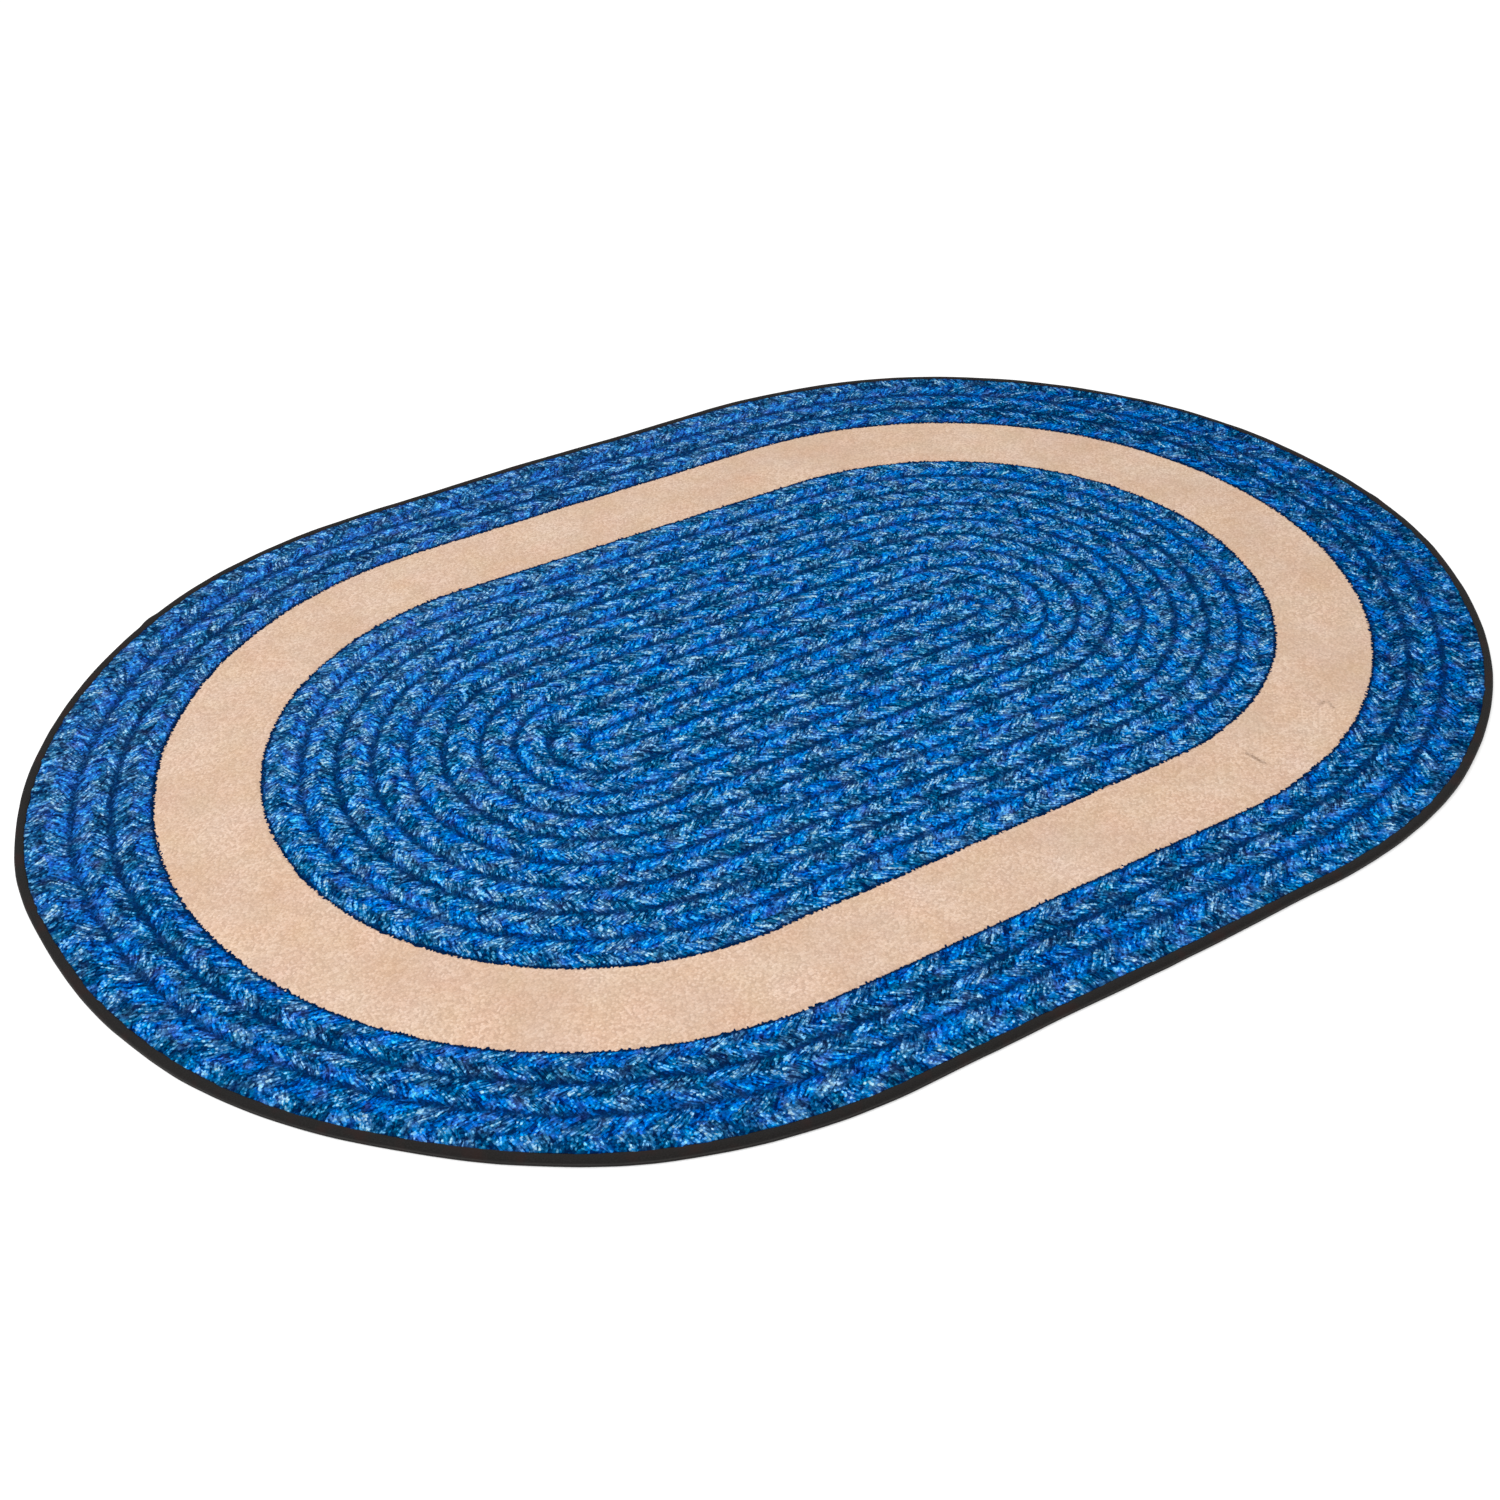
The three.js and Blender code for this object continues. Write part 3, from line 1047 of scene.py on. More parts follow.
class Recipe(Steps):
    """A material, or the sky: besides sums it has places, patterns, colours and a finish."""

    def carried(self, name):
        """A number that the mesh carries."""
        return self.number("ShaderNodeAttribute", output="Fac", attribute_name=name)

    def direction(self, name):
        """A vector that the mesh carries."""
        return self.add("ShaderNodeAttribute", attribute_name=name).outputs["Vector"]

    def uv(self, name):
        """A place on one of the mesh's own maps."""
        return self.add("ShaderNodeUVMap", uv_map=name).outputs[0]

    def position(self):
        """Where a place is on the rug, in metres."""
        return self.add("ShaderNodeTexCoord").outputs["Object"]

    def noise(self, where, scale, detail=2.0):
        """Soft cloudy noise, about 0.5 on average. The scale is in clouds to a metre."""
        inputs = {"Vector": where, "Scale": scale, "Detail": detail}
        return self.number("ShaderNodeTexNoise", inputs, "Fac")

    def cells(self, where, scale, scatter=1.0):
        """A Voronoi pattern in the plane: each place belongs to the nearest scattered point."""
        inputs = {"Vector": where, "Scale": scale, "Randomness": scatter}
        return self.add("ShaderNodeTexVoronoi", inputs, voronoi_dimensions="2D").outputs

    def chances(self, colour):
        """The three channels of a random colour, as three chances from 0 to 1."""
        return self.numbers("ShaderNodeSeparateColor", {0: colour})

    def mix(self, share, first, second):
        """Two colours, mixed by a share. These inputs are the node's numbers for colours."""
        inputs = {0: share, 6: first, 7: second}
        return self.add("ShaderNodeMix", inputs, data_type="RGBA").outputs[2]

    def with_hue_and_saturation(self, colour, hue=0.5, depth=1.0):
        """A colour with its hue turned (0.5 leaves it alone) and its saturation raised or lowered.
        """
        inputs = {"Color": colour, "Hue": hue, "Saturation": depth}
        return self.add("ShaderNodeHueSaturation", inputs).outputs["Color"]

    def ramp(self, value, colours, stops):
        """A colour for each value, along a row of stops."""
        node = self.add("ShaderNodeValToRGB", {"Fac": value})
        elements = node.color_ramp.elements
        while len(elements) < len(stops):
            elements.new(0.5)
        for element, stop, colour in zip(elements, stops, colours):
            element.position = stop
            element.color = colour
        return node.outputs["Color"]

    def bump(self, height, strength, depth):
        """A normal that lets a smooth surface look as high and low as the height says."""
        inputs = {"Height": height, "Strength": strength, "Distance": depth}
        return self.add("ShaderNodeBump", inputs).outputs[0]

    def seen(self):
        """1 for rays from the camera, straight or by way of metal or glass, and 0 for the rest."""
        rays = self.add("ShaderNodeLightPath").outputs
        straight_or_metal = self.math("MAXIMUM", rays["Is Camera Ray"], rays["Is Glossy Ray"])
        return self.math("MAXIMUM", straight_or_metal, rays["Is Transmission Ray"])

    def finish(self, **inputs):
        """The surface itself, from named inputs of the Principled shader."""
        names = {key.replace("_", " ").title().replace("Ior", "IOR"): v for key, v in inputs.items()}
        shader = self.add("ShaderNodeBsdfPrincipled", names)
        self.add("ShaderNodeOutputMaterial", {"Surface": shader.outputs[0]})
        print(self.made.name, "is made of", len(self.tree.nodes), "steps")
        return self.made


print("half way up the screen's scale is a light of", round(srgb(128, 128, 128)[0], 3))

# %% [markdown]
# ## Tufts
#
# Cut pile is thousands of yarn ends, each with one colour. A Voronoi pattern shares the surface
# out among scattered points, which is just how tufts crowd together, and it also says where each
# point is. So the colour of a whole tuft can be looked up at its middle, and every edge in the
# drawing becomes toothed, tuft by tuft, as on the real rug.

# %% Tuft pattern
TUFT_SIZE = 2.3 * MM
TUFT_SCATTER = 0.8
TIP, GAP = 0.3, 0.75  # where a tuft's tip ends and the gap beside it starts, in tufts
DOME_FALL = 1.8
LOWEST_TUFT = 0.5  # the height of the lowest tufts, as a share of the tallest
FIBRES = 1400.0  # to a metre
FIBRE_SHARE = 0.35
RELIEF = 0.55


def tuft_cells(recipe):
    """The tuft that each place belongs to: the way to its middle, and three chances of its own."""
    place = recipe.position()
    cells = recipe.cells(place, 1 / TUFT_SIZE, TUFT_SCATTER)
    return {
        "place": place,
        "middle": cells["Position"],
        "to_middle": recipe.vector("SUBTRACT", cells["Position"], place),
        "off_middle": Number(recipe, cells["Distance"]),
        "chances": recipe.chances(cells["Color"]),
    }


def tuft_shade(recipe, tufts, deepest):
    """Light on a tuft: full at its tip and less in the gaps between tufts."""
    return recipe.spread(tufts["off_middle"], TIP, GAP, 1.0, deepest)


def tuft_bump(recipe, tufts, depth):
    """A normal for tufts: domes 1 - fall d^2 of uneven height, with finer fibres over them."""
    off_middle = tufts["off_middle"]
    dome = (1.0 - DOME_FALL * (off_middle * off_middle)).kept()
    tall = LOWEST_TUFT + (1 - LOWEST_TUFT) * tufts["chances"][2]
    fibres = recipe.noise(tufts["place"], FIBRES)
    return recipe.bump(dome * tall + FIBRE_SHARE * fibres, RELIEF, depth)


print("tufts to a square centimetre:", round((10 * MM / TUFT_SIZE) ** 2, 1))

# %% [markdown]
# ## Heather yarns
#
# Each strand of the drawn braid is a heather: its tufts are picked from a few tones of one
# colour, dark to light. A ramp of tones with one number for each tuft gives that mixture. The
# number is partly the tuft's own chance, partly that of a fine ply, which draws the short broken
# lines that a twisted yarn has.

# %% Yarn tones
TONE_STOPS = (0.0, 0.2, 0.4, 0.6, 0.8, 1.0)
YARN_GAIN = (0.64, 1.035, 1.18)  # red, green and blue, to make up for the shade between tufts
SAND_GAIN = (1.02, 1.035, 1.025)

YARNS = {
    "royal": [
        (0, 35, 90), (0, 71, 144), (3, 95, 178), (11, 113, 201), (38, 142, 226), (118, 194, 250),
    ],
    "grey": [
        (1, 38, 84), (10, 66, 120), (30, 91, 147), (57, 117, 171), (102, 157, 206), (206, 214, 230),
    ],
    "light": [
        (0, 35, 88), (3, 64, 130), (15, 89, 159), (42, 118, 190), (86, 156, 221), (176, 208, 246),
    ],
    "pale": [
        (3, 42, 88), (17, 75, 129), (41, 101, 155), (69, 130, 183), (119, 164, 207), (222, 219, 226),
    ],
    "teal": [
        (0, 31, 72), (4, 54, 99), (13, 73, 119), (31, 96, 146), (67, 130, 178), (144, 188, 220),
    ],
}
LINE_COLOUR = (5, 50, 104)
BAND_LINE_COLOUR = (4, 38, 82)


def yarn_colours(tones, gain=YARN_GAIN):
    """The tones of a yarn, each made lighter or darker in red, green and blue by the gain."""
    linear = np.array([srgb(*tone) for tone in tones])
    linear[:, :3] = np.clip(linear[:, :3] * gain, 0, 1)
    return linear.tolist()


print("yarns:", ", ".join(YARNS))

# %% [markdown]
# ## The drawing of one tile
#
# A tile is drawn in the frame where the strands stand upright, and its streaks were placed
# against an average of many of the rug's tiles. Fine plies run along the strands, with a tone
# each. Over them lie eleven light streaks, where yarn turns to the
# light, and three dark ones, where a strand dips under its neighbour. A streak is a soft oval
# that lifts or lowers the tone of its tufts. The tufts are heathered, so each has a large chance
# of its own, and a few stray over an edge.

# %% Streaks of a tile
# for each: place along the tile, place across it, half width, half length, lift of the tone
STREAKS = [
    (0.03, 0.55, 0.065, 0.40, 0.36),
    (0.19, 0.48, 0.075, 0.50, 0.50),
    (0.305, 0.48, 0.070, 0.50, 0.42),
    (0.455, 0.30, 0.070, 0.45, 0.44),
    (0.54, 0.52, 0.070, 0.45, 0.40),
    (0.80, 0.62, 0.065, 0.34, 0.52),
    (0.69, 0.32, 0.080, 0.60, -0.16),
    (0.91, 0.30, 0.090, 0.60, -0.16),
    (0.96, -0.36, 0.085, 0.55, 0.50),
    (0.14, -0.10, 0.065, 0.34, 0.46),
    (0.235, -0.56, 0.070, 0.40, 0.44),
    (0.37, -0.40, 0.110, 0.90, -0.34),
    (0.565, -0.44, 0.085, 0.50, 0.42),
    (0.735, -0.46, 0.075, 0.46, 0.38),
]
ACROSS_SCALE = 0.25  # keeps both places of a streak within half a tile
LIFT_RANGE = (0.36, 1.08)  # no two tiles are dyed quite alike
DYE_CLOUDS = 55.0  # to a metre
DYE_FROM, DYE_TO = 0.3, 0.7


def lift_of(recipe, place, streak):
    """The lift of one streak: all of it at the middle, fading to nothing at its half sizes."""
    along, across, half_width, half_length, lift = streak
    corner = (along - 0.5, ACROSS_SCALE * across - 0.5, 0.0)
    size = (1 / half_width, 1 / (ACROSS_SCALE * half_length), 0.0)
    wrapped = recipe.vector("FRACTION", recipe.vector("SUBTRACT", place, corner))
    away = recipe.vector("MULTIPLY", recipe.vector("SUBTRACT", wrapped, (0.5, 0.5, 0.0)), size)
    return recipe.spread(recipe.length(away), 0.0, 1.0, lift, 0.0)


def lift_of_streaks(recipe, tufts, leaning, across):
    """What all the streaks add to the tone at a place, times more or less with the dye there."""
    place = recipe.join(leaning, ACROSS_SCALE * across)
    dye = recipe.spread(recipe.noise(tufts["middle"], DYE_CLOUDS), DYE_FROM, DYE_TO, *LIFT_RANGE)
    return sum(lift_of(recipe, place, streak) for streak in STREAKS) * dye


lifts = np.array(STREAKS)[:, -1]
print("light streaks:", int((lifts > 0).sum()), "and dark ones:", int((lifts < 0).sum()))

# %% Strays and plies
STRAY_ALONG = 0.02
STRAY_ACROSS = 0.12
PLIES_PER_TILE = 33.0
PLIES_ACROSS = 3.4


def place_in_braid(recipe, tufts):
    """Tiles along and across at the middle of each tuft, once the tuft has strayed a little."""
    along, across, _ = recipe.split(recipe.uv("Braid"))
    along = along + recipe.dot(tufts["to_middle"], recipe.direction("along_step"))
    across = across + recipe.dot(tufts["to_middle"], recipe.direction("across_step"))
    along = along + STRAY_ALONG * (tufts["chances"][1] - 0.5)
    across = across + STRAY_ACROSS * (tufts["chances"][2] - 0.5)
    return along, across


def chance_of_ply(recipe):
    """A chance for each fine ply. Plies are finer than tufts, so it is at the place itself."""
    along, across, _ = recipe.split(recipe.uv("Braid"))
    place = recipe.join(PLIES_PER_TILE * leaning_place(along, across), PLIES_ACROSS * across)
    return recipe.chances(recipe.cells(place, 1.0)["Color"])[0]


print("a ply is about", round(TILE_LENGTH / PLIES_PER_TILE / MM, 1), "mm wide")

# %% [markdown]
# ## Row lines and patches of dye
#
# Beside the row lines the tufts are dyed darker, which makes each row look round. The line
# wanders by a millimetre or two, and is weaker here and stronger there. The dye takes unevenly,
# so some patches are a little greener, greyer or more violet.

# %% Row lines
LINE_CORE = 1.0 * MM
LINE_REACH = 6.0 * MM
LINE_WANDER = 4.0 * MM
LINE_COVER = (0.72, -0.31)  # for the darkest ply, and how much less for the lightest
LINE_CLOUDS = 24.0  # to a metre, where the line wanders
BREAK_CLOUDS = 46.0  # and where it is weaker or stronger
BREAKS = (0.32, 0.66, 0.4, 1.4)


def on_row_line(recipe, tufts):
    """1 on a row line and 0 from its reach on, for a line that wanders."""
    wander = recipe.noise(tufts["middle"], LINE_CLOUDS) - 0.5
    outward = recipe.dot(tufts["to_middle"], recipe.direction("outward"))
    off_line = abs(recipe.carried("past_line") + outward + LINE_WANDER * wander)
    return recipe.spread(off_line, LINE_CORE, LINE_REACH, 1.0, 0.0)


def cover_of_line(recipe, tufts, on_line, ply):
    """How much of the line's dark dye a place has: less on light plies and in weak stretches."""
    strength = recipe.spread(recipe.noise(tufts["middle"], BREAK_CLOUDS), *BREAKS)
    return (on_line * (LINE_COVER[0] + LINE_COVER[1] * ply) * strength).kept()


print("a row line fades out over", round(LINE_REACH / MM, 1), "mm")

# %% Patches of dye
PATCHES = (75.0, (0.472, 0.522), (0.79, 1.24))  # patches of dye: how fine, hues and depths
FAR_SHEEN = (0.15, 0.5, 1.0, 0.967)  # painted sheen: the far side, seen at a grazing angle, is a little greyer: from, to and how much saturation is kept
FAR_SHEEN_SLANT = -0.35  # and a little of the left end with it


def between(ends, share):
    """From the first of two ends to the second."""
    return ends[0] + (ends[1] - ends[0]) * share


def patchy(recipe, colour, tufts, fineness, hues, depths):
    """A colour whose hue and saturation wander from patch to patch, between two ends each."""
    inputs = {"Vector": tufts["middle"], "Scale": fineness, "Detail": 1.0}
    patches = recipe.add("ShaderNodeTexNoise", inputs).outputs["Color"]
    chances = recipe.chances(patches)
    return recipe.with_hue_and_saturation(colour, between(hues, chances[0]), between(depths, chances[1]))


print("patches of dye are about", round(1000 / PATCHES[0]), "mm across")

# %% [markdown]
# ## Braid colour
#
# Every tuft asks where its middle is in the tile. That gives the yarn it belongs to and the lift
# of the streaks there. The two sides of a plait lock into each other, so the mid-line between
# them wavers. The shape of the pile already has a formula that stands the strands upright, and
# the same formula is used here.

# %% Colour of a strand
def strand_colour(recipe, tone, leaning, is_outer):
    """The colour of the strand at a place: a ramp for each yarn, and the cuts between strands."""
    yarn = {
        name: recipe.ramp(tone, yarn_colours(tones), TONE_STOPS) for name, tones in YARNS.items()
    }
    inner = (leaning - INNER_CUTS[0]).fraction()
    outer = (leaning - OUTER_CUTS[0]).fraction()
    inner_colour = recipe.mix(inner > INNER_CUTS[1] - INNER_CUTS[0], yarn["royal"], yarn["grey"])
    outer_colour = recipe.mix(outer > OUTER_CUTS[1] - OUTER_CUTS[0], yarn["light"], yarn["pale"])
    outer_colour = recipe.mix(outer > OUTER_CUTS[2] - OUTER_CUTS[0], outer_colour, yarn["teal"])
    return recipe.mix(is_outer, inner_colour, outer_colour)


print("the outer strands take", np.round(np.diff(OUTER_CUTS), 3).tolist(), "of a tile each")

# %% Colour of the braid
MIDDLE_TONE = 0.45
OWN_SHARE = 0.72
PLY_SHARE = 0.68
BORDER_TONE = -0.07  # the border is a little darker in tone
RIGHT_END_SHADE = -0.09  # painted shade: the right end is a little darker too, where the pile leans the other way
RIGHT_SHADE_REACH = (0.25, 0.75)  # where that starts and where it is all there, in metres from the middle
LINE_DROP = 0.25
MID_LINE = 0.03
MID_LINE_WAVER = 0.08
MID_LINE_PHASE = 0.22


def braid_colour(recipe, tufts):
    """The colour of the braid at the middle of each tuft."""
    along, across = place_in_braid(recipe, tufts)
    leaning = leaning_place(along, across)
    ply = chance_of_ply(recipe)
    on_line = on_row_line(recipe, tufts)
    x, y, _ = recipe.split(tufts["middle"])

    tone = MIDDLE_TONE + lift_of_streaks(recipe, tufts, leaning, across)
    tone = tone + PLY_SHARE * (ply - 0.5) + OWN_SHARE * (tufts["chances"][0] - 0.5)
    tone = tone + BORDER_TONE / 2 * (1.0 - recipe.carried("band_side"))
    # painted shade towards the right end, and the darker dye beside the row lines
    tone = tone + recipe.spread(x, *RIGHT_SHADE_REACH, 0.0, RIGHT_END_SHADE) - LINE_DROP * on_line

    mid_line = MID_LINE + MID_LINE_WAVER * np.sin(4 * np.pi * (along - MID_LINE_PHASE))
    colour = strand_colour(recipe, tone, leaning, across > mid_line)
    colour = patchy(recipe, colour, tufts, *PATCHES)
    # painted sheen: the colour turns a little greyer towards the far side
    colour = recipe.with_hue_and_saturation(colour, depth=recipe.spread(y + FAR_SHEEN_SLANT * x, *FAR_SHEEN))
    cover = cover_of_line(recipe, tufts, on_line, ply)
    return recipe.mix(cover, colour, srgb(*LINE_COLOUR))


chance_range = (OWN_SHARE + PLY_SHARE) / 2
print("chance moves the tone by up to", chance_range, "either way from", MIDDLE_TONE)

# %% [markdown]
# ## Plain pile and the toothed edges of the band
#
# The band's tufts are all one sand colour, with small differences from tuft to tuft and soft
# clouds of painted shade where the pile leans. Three small scuffs are soft strokes. The band's
# edges are a drawn line too: a dark line runs beside it, and the edge wanders a little. Both
# finishes share these cells, so the drawing carries on from one mesh to the next.

# %% Scuffs
# near the right end of the near side: from x, y to x, y in millimetres, and how dark
SCUFFS = np.array(
    [
        (308.6, -383.0, 311.8, -404.0, 0.75),
        (433.5, -360.5, 441.0, -359.0, 0.5),
        (444.0, -363.0, 441.0, -373.0, 0.5),
    ]
)
SCUFF_REACH = 3.6 * MM
SCUFF_COLOUR = (140, 108, 88)
SCUFF_CHANCE = (0.5, 1.2)  # for the tufts that take the least and the most of it


def off_stroke(recipe, place, start, end):
    """How far a place is from a straight stroke: from the nearest place between its two ends."""
    stroke = end - start
    past_start = recipe.vector("SUBTRACT", place, (*start, 0.0))
    share = recipe.dot(past_start, (*(stroke / (stroke @ stroke)), 0.0)).kept()
    return recipe.length(recipe.vector("SUBTRACT", past_start, recipe.scaled((*stroke, 0.0), share)))


def scuffed_share(recipe, tufts):
    """How scuffed a tuft is: the sum of the strokes that reach it, times its own chance."""
    scuffed = 0.0
    for *ends, dark in SCUFFS:
        start, end = np.reshape(ends, (2, 2)) * MM - RUG_CENTRE
        away = off_stroke(recipe, tufts["middle"], start, end)
        scuffed = scuffed + recipe.spread(away, 0.0, SCUFF_REACH, dark, 0.0)
    return (scuffed * between(SCUFF_CHANCE, tufts["chances"][1])).kept()


scuff_lengths = np.linalg.norm(SCUFFS[:, 2:4] - SCUFFS[:, :2], axis=1)
print("scuffs, mm long:", np.round(scuff_lengths, 1).tolist())

# %% Sand colour
SAND = [(216, 185, 162), (224, 193, 170), (229, 199, 176), (234, 205, 183), (240, 213, 193)]
SAND_STOPS = (0.05, 0.3, 0.5, 0.7, 0.95)
SAND_PATCHES = (22.0, (0.488, 0.512), (0.82, 1.18))
LEANING_SHADE_CLOUDS = (11.0, 60.0)  # painted shade where the pile leans: broad clouds, and fine ones half as strong
LEANING = (0.55, 0.95)
LEANING_SHADE_SHARE = 0.45
LEANING_SHADE_COLOUR = (214, 180, 156)


def sand_colour(recipe, tufts):
    """The plain pile: a tone for each tuft, and clouds of painted shade where the pile leans another
    way.
    """
    tone = recipe.ramp(tufts["chances"][0], yarn_colours(SAND, SAND_GAIN), SAND_STOPS)
    cloud = recipe.noise(tufts["middle"], LEANING_SHADE_CLOUDS[0], detail=3.0)
    fine_cloud = recipe.noise(tufts["middle"], LEANING_SHADE_CLOUDS[1])
    # painted shade: where the pile leans, the tone is mixed towards a darker sand
    leaning = recipe.spread(cloud + 0.5 * fine_cloud, *LEANING)
    shaded_tone = recipe.mix(LEANING_SHADE_SHARE, tone, srgb(*LEANING_SHADE_COLOUR))
    tone = recipe.mix(leaning, tone, shaded_tone)
    tone = patchy(recipe, tone, tufts, *SAND_PATCHES)
    return recipe.mix(scuffed_share(recipe, tufts), tone, srgb(*SCUFF_COLOUR))


print("tones of the sand pile:", len(SAND))

# %% Edges of the band
BAND_LINE_WIDTH = 2.8 * MM
EDGE_WANDER = 3.0 * MM
TOOTH = 1.2 * MM
EDGE_CLOUDS = 16.0  # to a metre, where the edge wanders


def depth_in_band(recipe, tufts, step):
    """How far into the band the middle of a tuft is, once the edge has wandered."""
    wander = recipe.noise(tufts["middle"], EDGE_CLOUDS) - 0.5
    tooth = tufts["chances"][2] - 0.5
    depth = recipe.carried("into_band") + recipe.dot(tufts["to_middle"], step)
    return depth + EDGE_WANDER * wander + TOOTH * tooth


def with_band(recipe, tufts, step, beside):
    """The sand colour inside the band, the dark line next to it, and the given colour beyond."""
    depth = depth_in_band(recipe, tufts, step)
    outside = recipe.mix(depth > -BAND_LINE_WIDTH, beside, srgb(*BAND_LINE_COLOUR))
    return recipe.mix(depth > 0.0, outside, sand_colour(recipe, tufts))


print("the dark line beside the band is", round(BAND_LINE_WIDTH / MM, 1), "mm wide")

# %% Finish of the pile
PILE_ROUGHNESS = (0.88, 0.98)
FUZZINESS = 0.6  # how flat the light lies on it


def pile_material(recipe, tufts, base, gap_shade, low_shade, depth):
    """Cut pile: rough and without a shine, with painted shade between tufts and on the low ones, and
    painted light on the tall ones.
    """
    chance = tufts["chances"][1]
    # painted shade in the gaps between tufts and on low tufts, painted light on tall tufts
    light = tuft_shade(recipe, tufts, gap_shade) * between((low_shade, 2 - low_shade), chance)
    return recipe.finish(
        base_color=recipe.scaled(base, light),
        roughness=between(PILE_ROUGHNESS, chance),
        diffuse_roughness=FUZZINESS,
        specular_ior_level=0.0,
        normal=tuft_bump(recipe, tufts, depth),
    )


recipe = Recipe("braided_pile")
tufts = tuft_cells(recipe)
step = recipe.scaled(recipe.direction("outward"), recipe.carried("band_side"))
base = with_band(recipe, tufts, step, braid_colour(recipe, tufts))
braided_pile = pile_material(recipe, tufts, base, gap_shade=0.66, low_shade=0.7, depth=1.1 * MM)

recipe = Recipe("sand_pile")
tufts = tuft_cells(recipe)
step = recipe.direction("inward")
base = with_band(recipe, tufts, step, srgb(*BAND_LINE_COLOUR))
sand_pile = pile_material(recipe, tufts, base, gap_shade=0.92, low_shade=0.98, depth=0.7 * MM)

# %% [markdown]
# ## Woven backing
#
# The back of a carpet is a coarse cloth of flat tapes, with glue showing in the gaps. Two waves
# make the tapes, one each way, and a checkerboard says which of the two lies on top. Each tape
# has painted shade towards its edges.

# %% Backing material
WEAVE = 3.0 * MM
GLUE_CLOUDS = 40.0  # to a metre
GLUE_COVER = (0.45, 0.7, 0.0, 0.5)
GLUE_ROUGHNESS = (0.4, 0.7, 0.85, 0.6)  # from bare cloth to glue
SHADED_CLOTH = [srgb(120, 112, 98), srgb(176, 166, 146), srgb(198, 190, 172)]

recipe = Recipe("woven_backing")
place = recipe.position()
x, y, _ = recipe.split(place)
over_x = abs(np.sin(x * (math.pi / WEAVE)))
over_y = abs(np.sin(y * (math.pi / WEAVE)))
in_squares = {"Vector": recipe.join(x, y, 0.5 * MM), "Scale": 1 / WEAVE}
checks = recipe.add("ShaderNodeTexChecker", in_squares)
weave = recipe.number("ShaderNodeMix", {0: checks.outputs["Fac"], 2: over_x, 3: over_y})
glue = recipe.noise(place, GLUE_CLOUDS, detail=4.0)
# painted shade: each tape is darker towards its edges, where it dips into the weave
cloth = recipe.ramp(weave, SHADED_CLOTH, (0.0, 0.45, 1.0))
cloth = recipe.mix(recipe.spread(glue, *GLUE_COVER), cloth, srgb(205, 200, 188))
woven_backing = recipe.finish(
    base_color=cloth,
    roughness=recipe.spread(glue, *GLUE_ROUGHNESS),
    normal=recipe.bump(weave, 0.6, 0.5 * MM),
)

# %% [markdown]
# ## Binding tape
#
# The tape is a tight dark twill. Its own map measures metres along and across, so the ribs lean
# the same way all round. The fold along the outside has a painted highlight, stronger in
# patches, and a row of stitches runs near the inner edge of the lip.

# %% Tape material
RIB = 0.9 * MM
RIB_LEAN = 1.2
STITCH = 4.2 * MM
STITCH_INSET = 2.0 * MM
THREAD_SHARE = 0.72  # of a stitch, that the thread shows on top
FOLD_PLACE = walked[FOLD_RING] + 0.2 * MM
FOLD_HIGHLIGHT_REACH, STITCH_REACH = 1.5 * MM, 0.5 * MM
FUZZ_CLOUDS, HIGHLIGHT_CLOUDS, FADED_CLOUDS = 900.0, 25.0, 38.0  # to a metre
# how strong the painted highlight on the fold is, patch by patch
HIGHLIGHT_PATCHES = (0.3, 0.6, 0.5, 1.0)
FADED = (0.5, 0.7, 0.0, 0.7)
RIB_HEIGHT, FUZZ_HEIGHT, ROW_DIP, THREAD_HEIGHT = 0.12, 0.5, 0.8, 0.9
TWILL = [srgb(18, 16, 15), srgb(27, 25, 24), srgb(38, 36, 35)]


def near(recipe, value, mark, reach):
    """1 at a mark, fading to 0 at its reach."""
    return recipe.spread(abs(value - mark), 0.0, reach, 1.0, 0.0)


recipe = Recipe("binding_twill")
along, across, _ = recipe.split(recipe.uv("Tape"))
ribs = np.sin((along + RIB_LEAN * across) * (2 * math.pi / RIB))
fuzz = recipe.noise(recipe.position(), FUZZ_CLOUDS, detail=3.0)
highlight_patches = recipe.spread(recipe.noise(recipe.position(), HIGHLIGHT_CLOUDS), *HIGHLIGHT_PATCHES)
faded = recipe.spread(recipe.noise(recipe.position(), FADED_CLOUDS), *FADED)
# where the painted highlight on the fold lies, stronger in patches
fold_highlight = highlight_patches * near(recipe, across, FOLD_PLACE, FOLD_HIGHLIGHT_REACH)
row = near(recipe, across, STITCH_INSET, STITCH_REACH)
thread = row * ((along / STITCH).fraction() < THREAD_SHARE)
tape = recipe.ramp(fuzz, TWILL, (0.3, 0.5, 0.75))
tape = recipe.mix(faded, tape, srgb(40, 25, 22))
# painted highlight: the fold is mixed towards a lighter grey
tape = recipe.mix(0.6 * fold_highlight, tape, srgb(58, 56, 54))
tape = recipe.mix(0.7 * thread, tape, srgb(24, 22, 22))
height = RIB_HEIGHT * ribs + FUZZ_HEIGHT * fuzz - ROW_DIP * row + THREAD_HEIGHT * thread
binding_twill = recipe.finish(
    base_color=tape,
    roughness=0.72 - 0.12 * fold_highlight,
    specular_ior_level=0.15,
    normal=recipe.bump(height, 0.5, 0.5 * MM),
)

# %% [markdown]
# ## Putting the pieces in the frame
#
# Each piece gets its finish, rides on the rug's one body and stands for the solid that it
# dresses. All of them lie flat on the floor.

# %% Finishes
def dress(piece, material, solid):
    """Gives a piece its finish, puts it on the rug's body, and lets it stand for a solid of the
    frame.
    """
    piece.data.materials.append(material)
    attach(piece, "root")
    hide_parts(solid)
    print(piece.name, "is finished in", material.name)


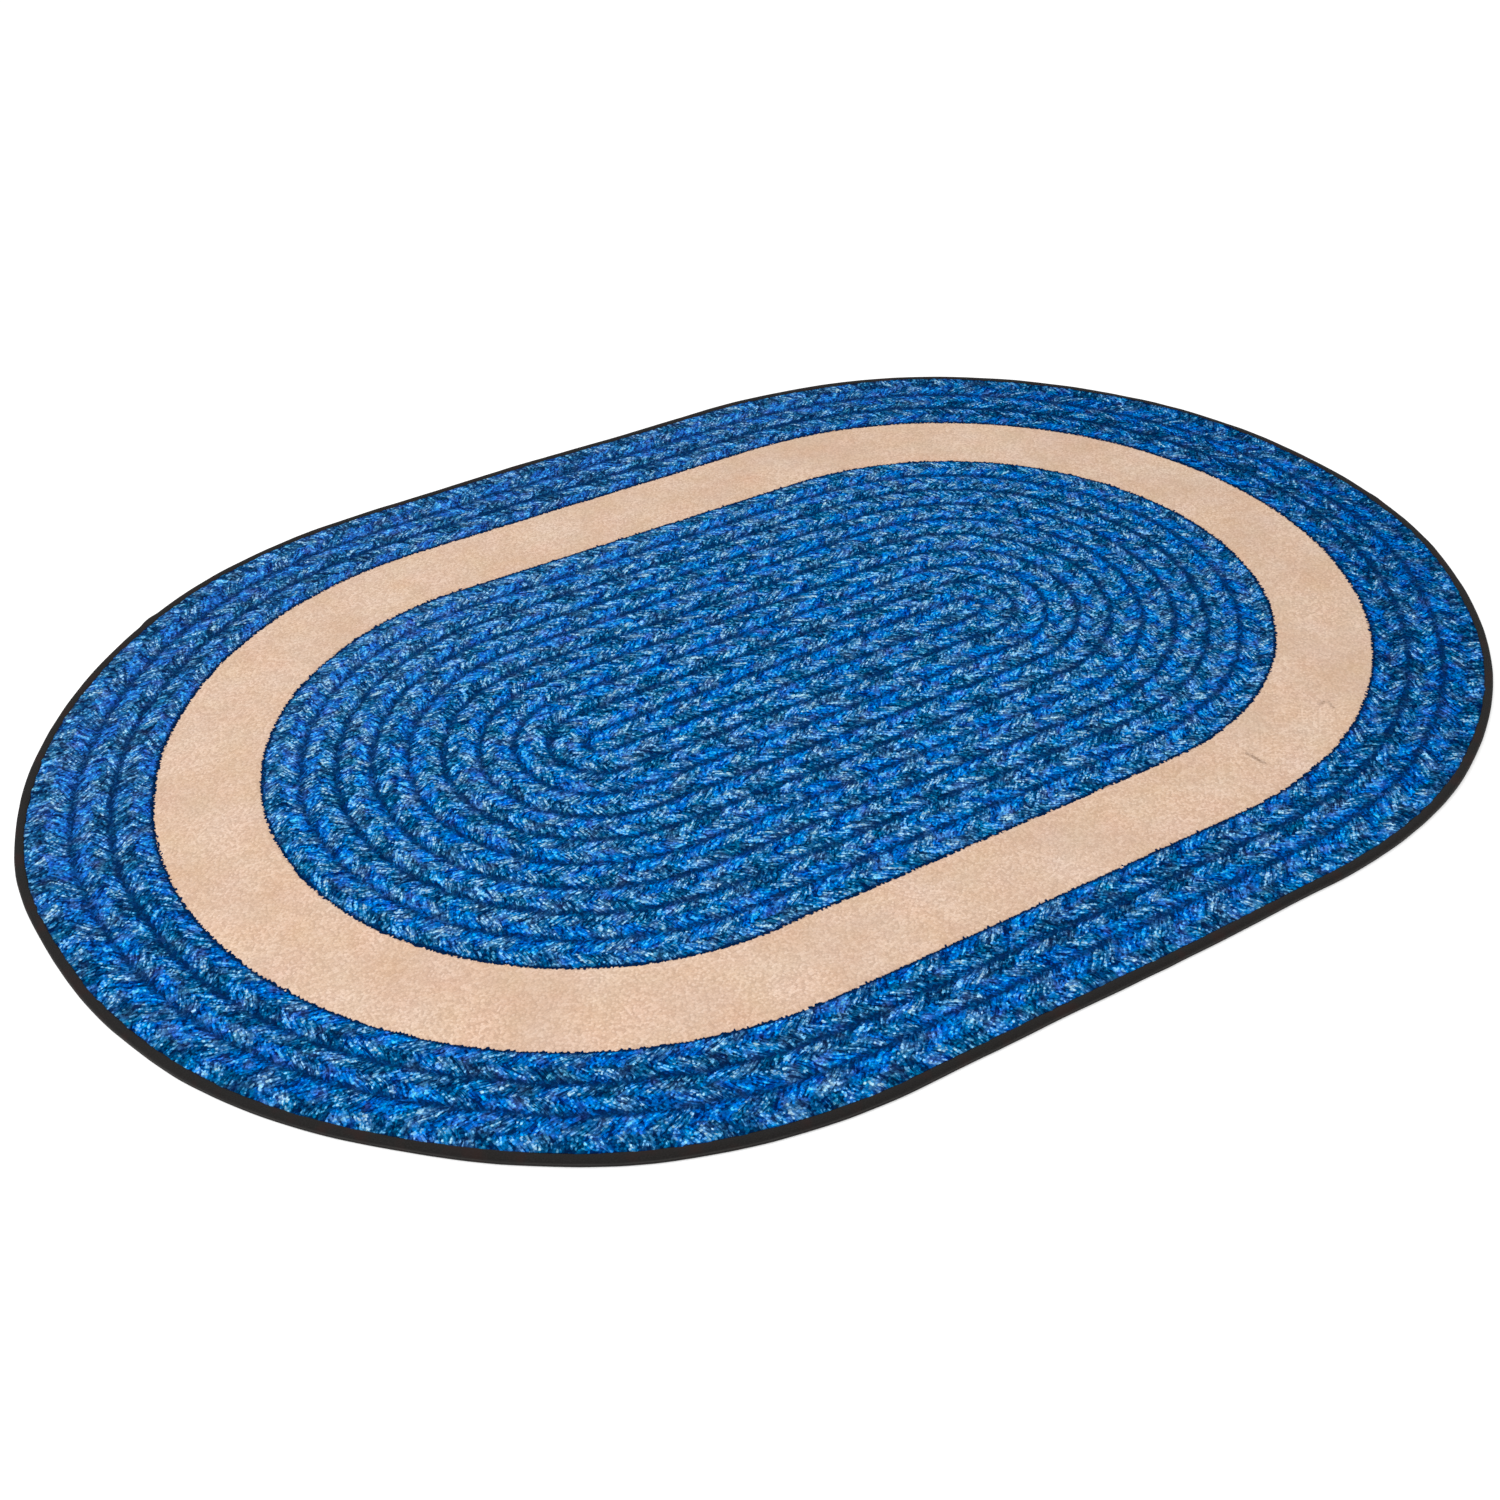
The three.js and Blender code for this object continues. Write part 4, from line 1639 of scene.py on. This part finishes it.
dress(braid_field, braided_pile, "carpet")
dress(braid_border, braided_pile, "carpet")
dress(plain_band, sand_pile, "carpet")
dress(backing, woven_backing, "carpet")
dress(edge_binding, binding_twill, "edge_binding")


# %% Area of the carpet
def oval_area(radius):
    """The area inside an oval line at this distance from the middle line."""
    return 4 * HALF_STRAIGHT * radius + math.pi * radius**2


print("the carpet is cut from", round(oval_area(CARPET_EDGE), 3), "square metres")

# %% [markdown]
# ## Floor, light and camera
#
# The rug lies on a pale floor under plain soft light. The sky gives most of the light, and one
# large soft lamp gives it a direction, so the pile and the folded edge are modelled by shade.

# %% Floor
FLOOR_SIZE = 30.0
FLOOR_LEVEL = -0.3 * MM
FLOOR_GLOW = 0.5  # how much white the floor adds where it is seen
SPECKS = 3.0  # to a metre

recipe = Recipe("pale_floor")
speck = recipe.noise(recipe.position(), SPECKS)
pale = recipe.ramp(speck, [srgb(228, 228, 228), srgb(232, 232, 232)], (0.3, 0.7))
diffuse = recipe.add("ShaderNodeBsdfDiffuse", {"Color": pale})
glow = recipe.add("ShaderNodeEmission", {"Color": (1, 1, 1, 1), "Strength": FLOOR_GLOW})
dark = recipe.add("ShaderNodeEmission", {"Color": (0, 0, 0, 1), "Strength": 0.0})
shown = recipe.add(
    "ShaderNodeMixShader", {0: recipe.seen(), 1: dark.outputs[0], 2: glow.outputs[0]}
)
both = recipe.add("ShaderNodeAddShader", {0: diffuse.outputs[0], 1: shown.outputs[0]})
recipe.add("ShaderNodeOutputMaterial", {"Surface": both.outputs[0]})

half = FLOOR_SIZE / 2
corners = [(-half, -half), (half, -half), (half, half), (-half, half)]
floor_mesh = bpy.data.meshes.new("floor")
floor_mesh.from_pydata([(x, y, FLOOR_LEVEL) for x, y in corners], [], [(0, 1, 2, 3)])
floor = bpy.data.objects.new("floor", floor_mesh)
floor.data.materials.append(recipe.made)
bpy.context.scene.collection.objects.link(floor)
print("the floor is", FLOOR_SIZE, "m square")

# %% Light
SKY = 0.66
LAMP_POWER = 57.0
LAMP_SIZE = 2.0
LAMP_PLACE = (-2.1, -0.9, 3.0)

recipe = Recipe("sky", kind="worlds")
strength = recipe.add("ShaderNodeMapRange", {"Value": recipe.seen(), "To Min": SKY, "To Max": 1.0})
sky = {"Color": (1, 1, 1, 1), "Strength": strength.outputs[0]}
background = recipe.add("ShaderNodeBackground", sky)
recipe.add("ShaderNodeOutputWorld", {"Surface": background.outputs[0]})
bpy.context.scene.world = recipe.made

lamp_data = bpy.data.lights.new("soft_lamp", "AREA")
lamp_data.shape = "DISK"
lamp_data.size = LAMP_SIZE
lamp_data.energy = LAMP_POWER
lamp = bpy.data.objects.new("soft_lamp", lamp_data)
lamp.location = LAMP_PLACE
lamp.rotation_euler = (-lamp.location.normalized()).to_track_quat("-Z", "Y").to_euler()
bpy.context.scene.collection.objects.link(lamp)
print("the lamp is", round(lamp.location.length, 2), "m from the middle of the rug")

# %% Camera
CAMERA_PLACE = np.array([-0.94109, -1.46116, 1.18456])
CAMERA_FORWARD = np.array([0.41662, 0.68536, -0.59725])
CAMERA_RIGHT = np.array([0.84894, -0.52830, -0.01404])
LENS = 46.217
PILE_TOP = 9 * MM

camera_data = bpy.data.cameras.new("camera")
camera_data.lens = LENS
camera_data.sensor_width = 36.0
camera_data.clip_end = 100.0
camera = bpy.data.objects.new("camera", camera_data)
forward = CAMERA_FORWARD / np.linalg.norm(CAMERA_FORWARD)
right = CAMERA_RIGHT / np.linalg.norm(CAMERA_RIGHT)
up = np.cross(right, forward)
place = CAMERA_PLACE + (-RUG_CENTRE[0], -RUG_CENTRE[1], PILE_TOP)
camera.matrix_world = Matrix(
    [
        (right[0], up[0], -forward[0], place[0]),
        (right[1], up[1], -forward[1], place[1]),
        (right[2], up[2], -forward[2], place[2]),
        (0, 0, 0, 1),
    ]
)
bpy.context.scene.collection.objects.link(camera)
bpy.context.scene.camera = camera
bpy.context.scene.view_settings.view_transform = "Standard"
print("the camera stands", round(place[2], 2), "m above the floor")

# %% [markdown]
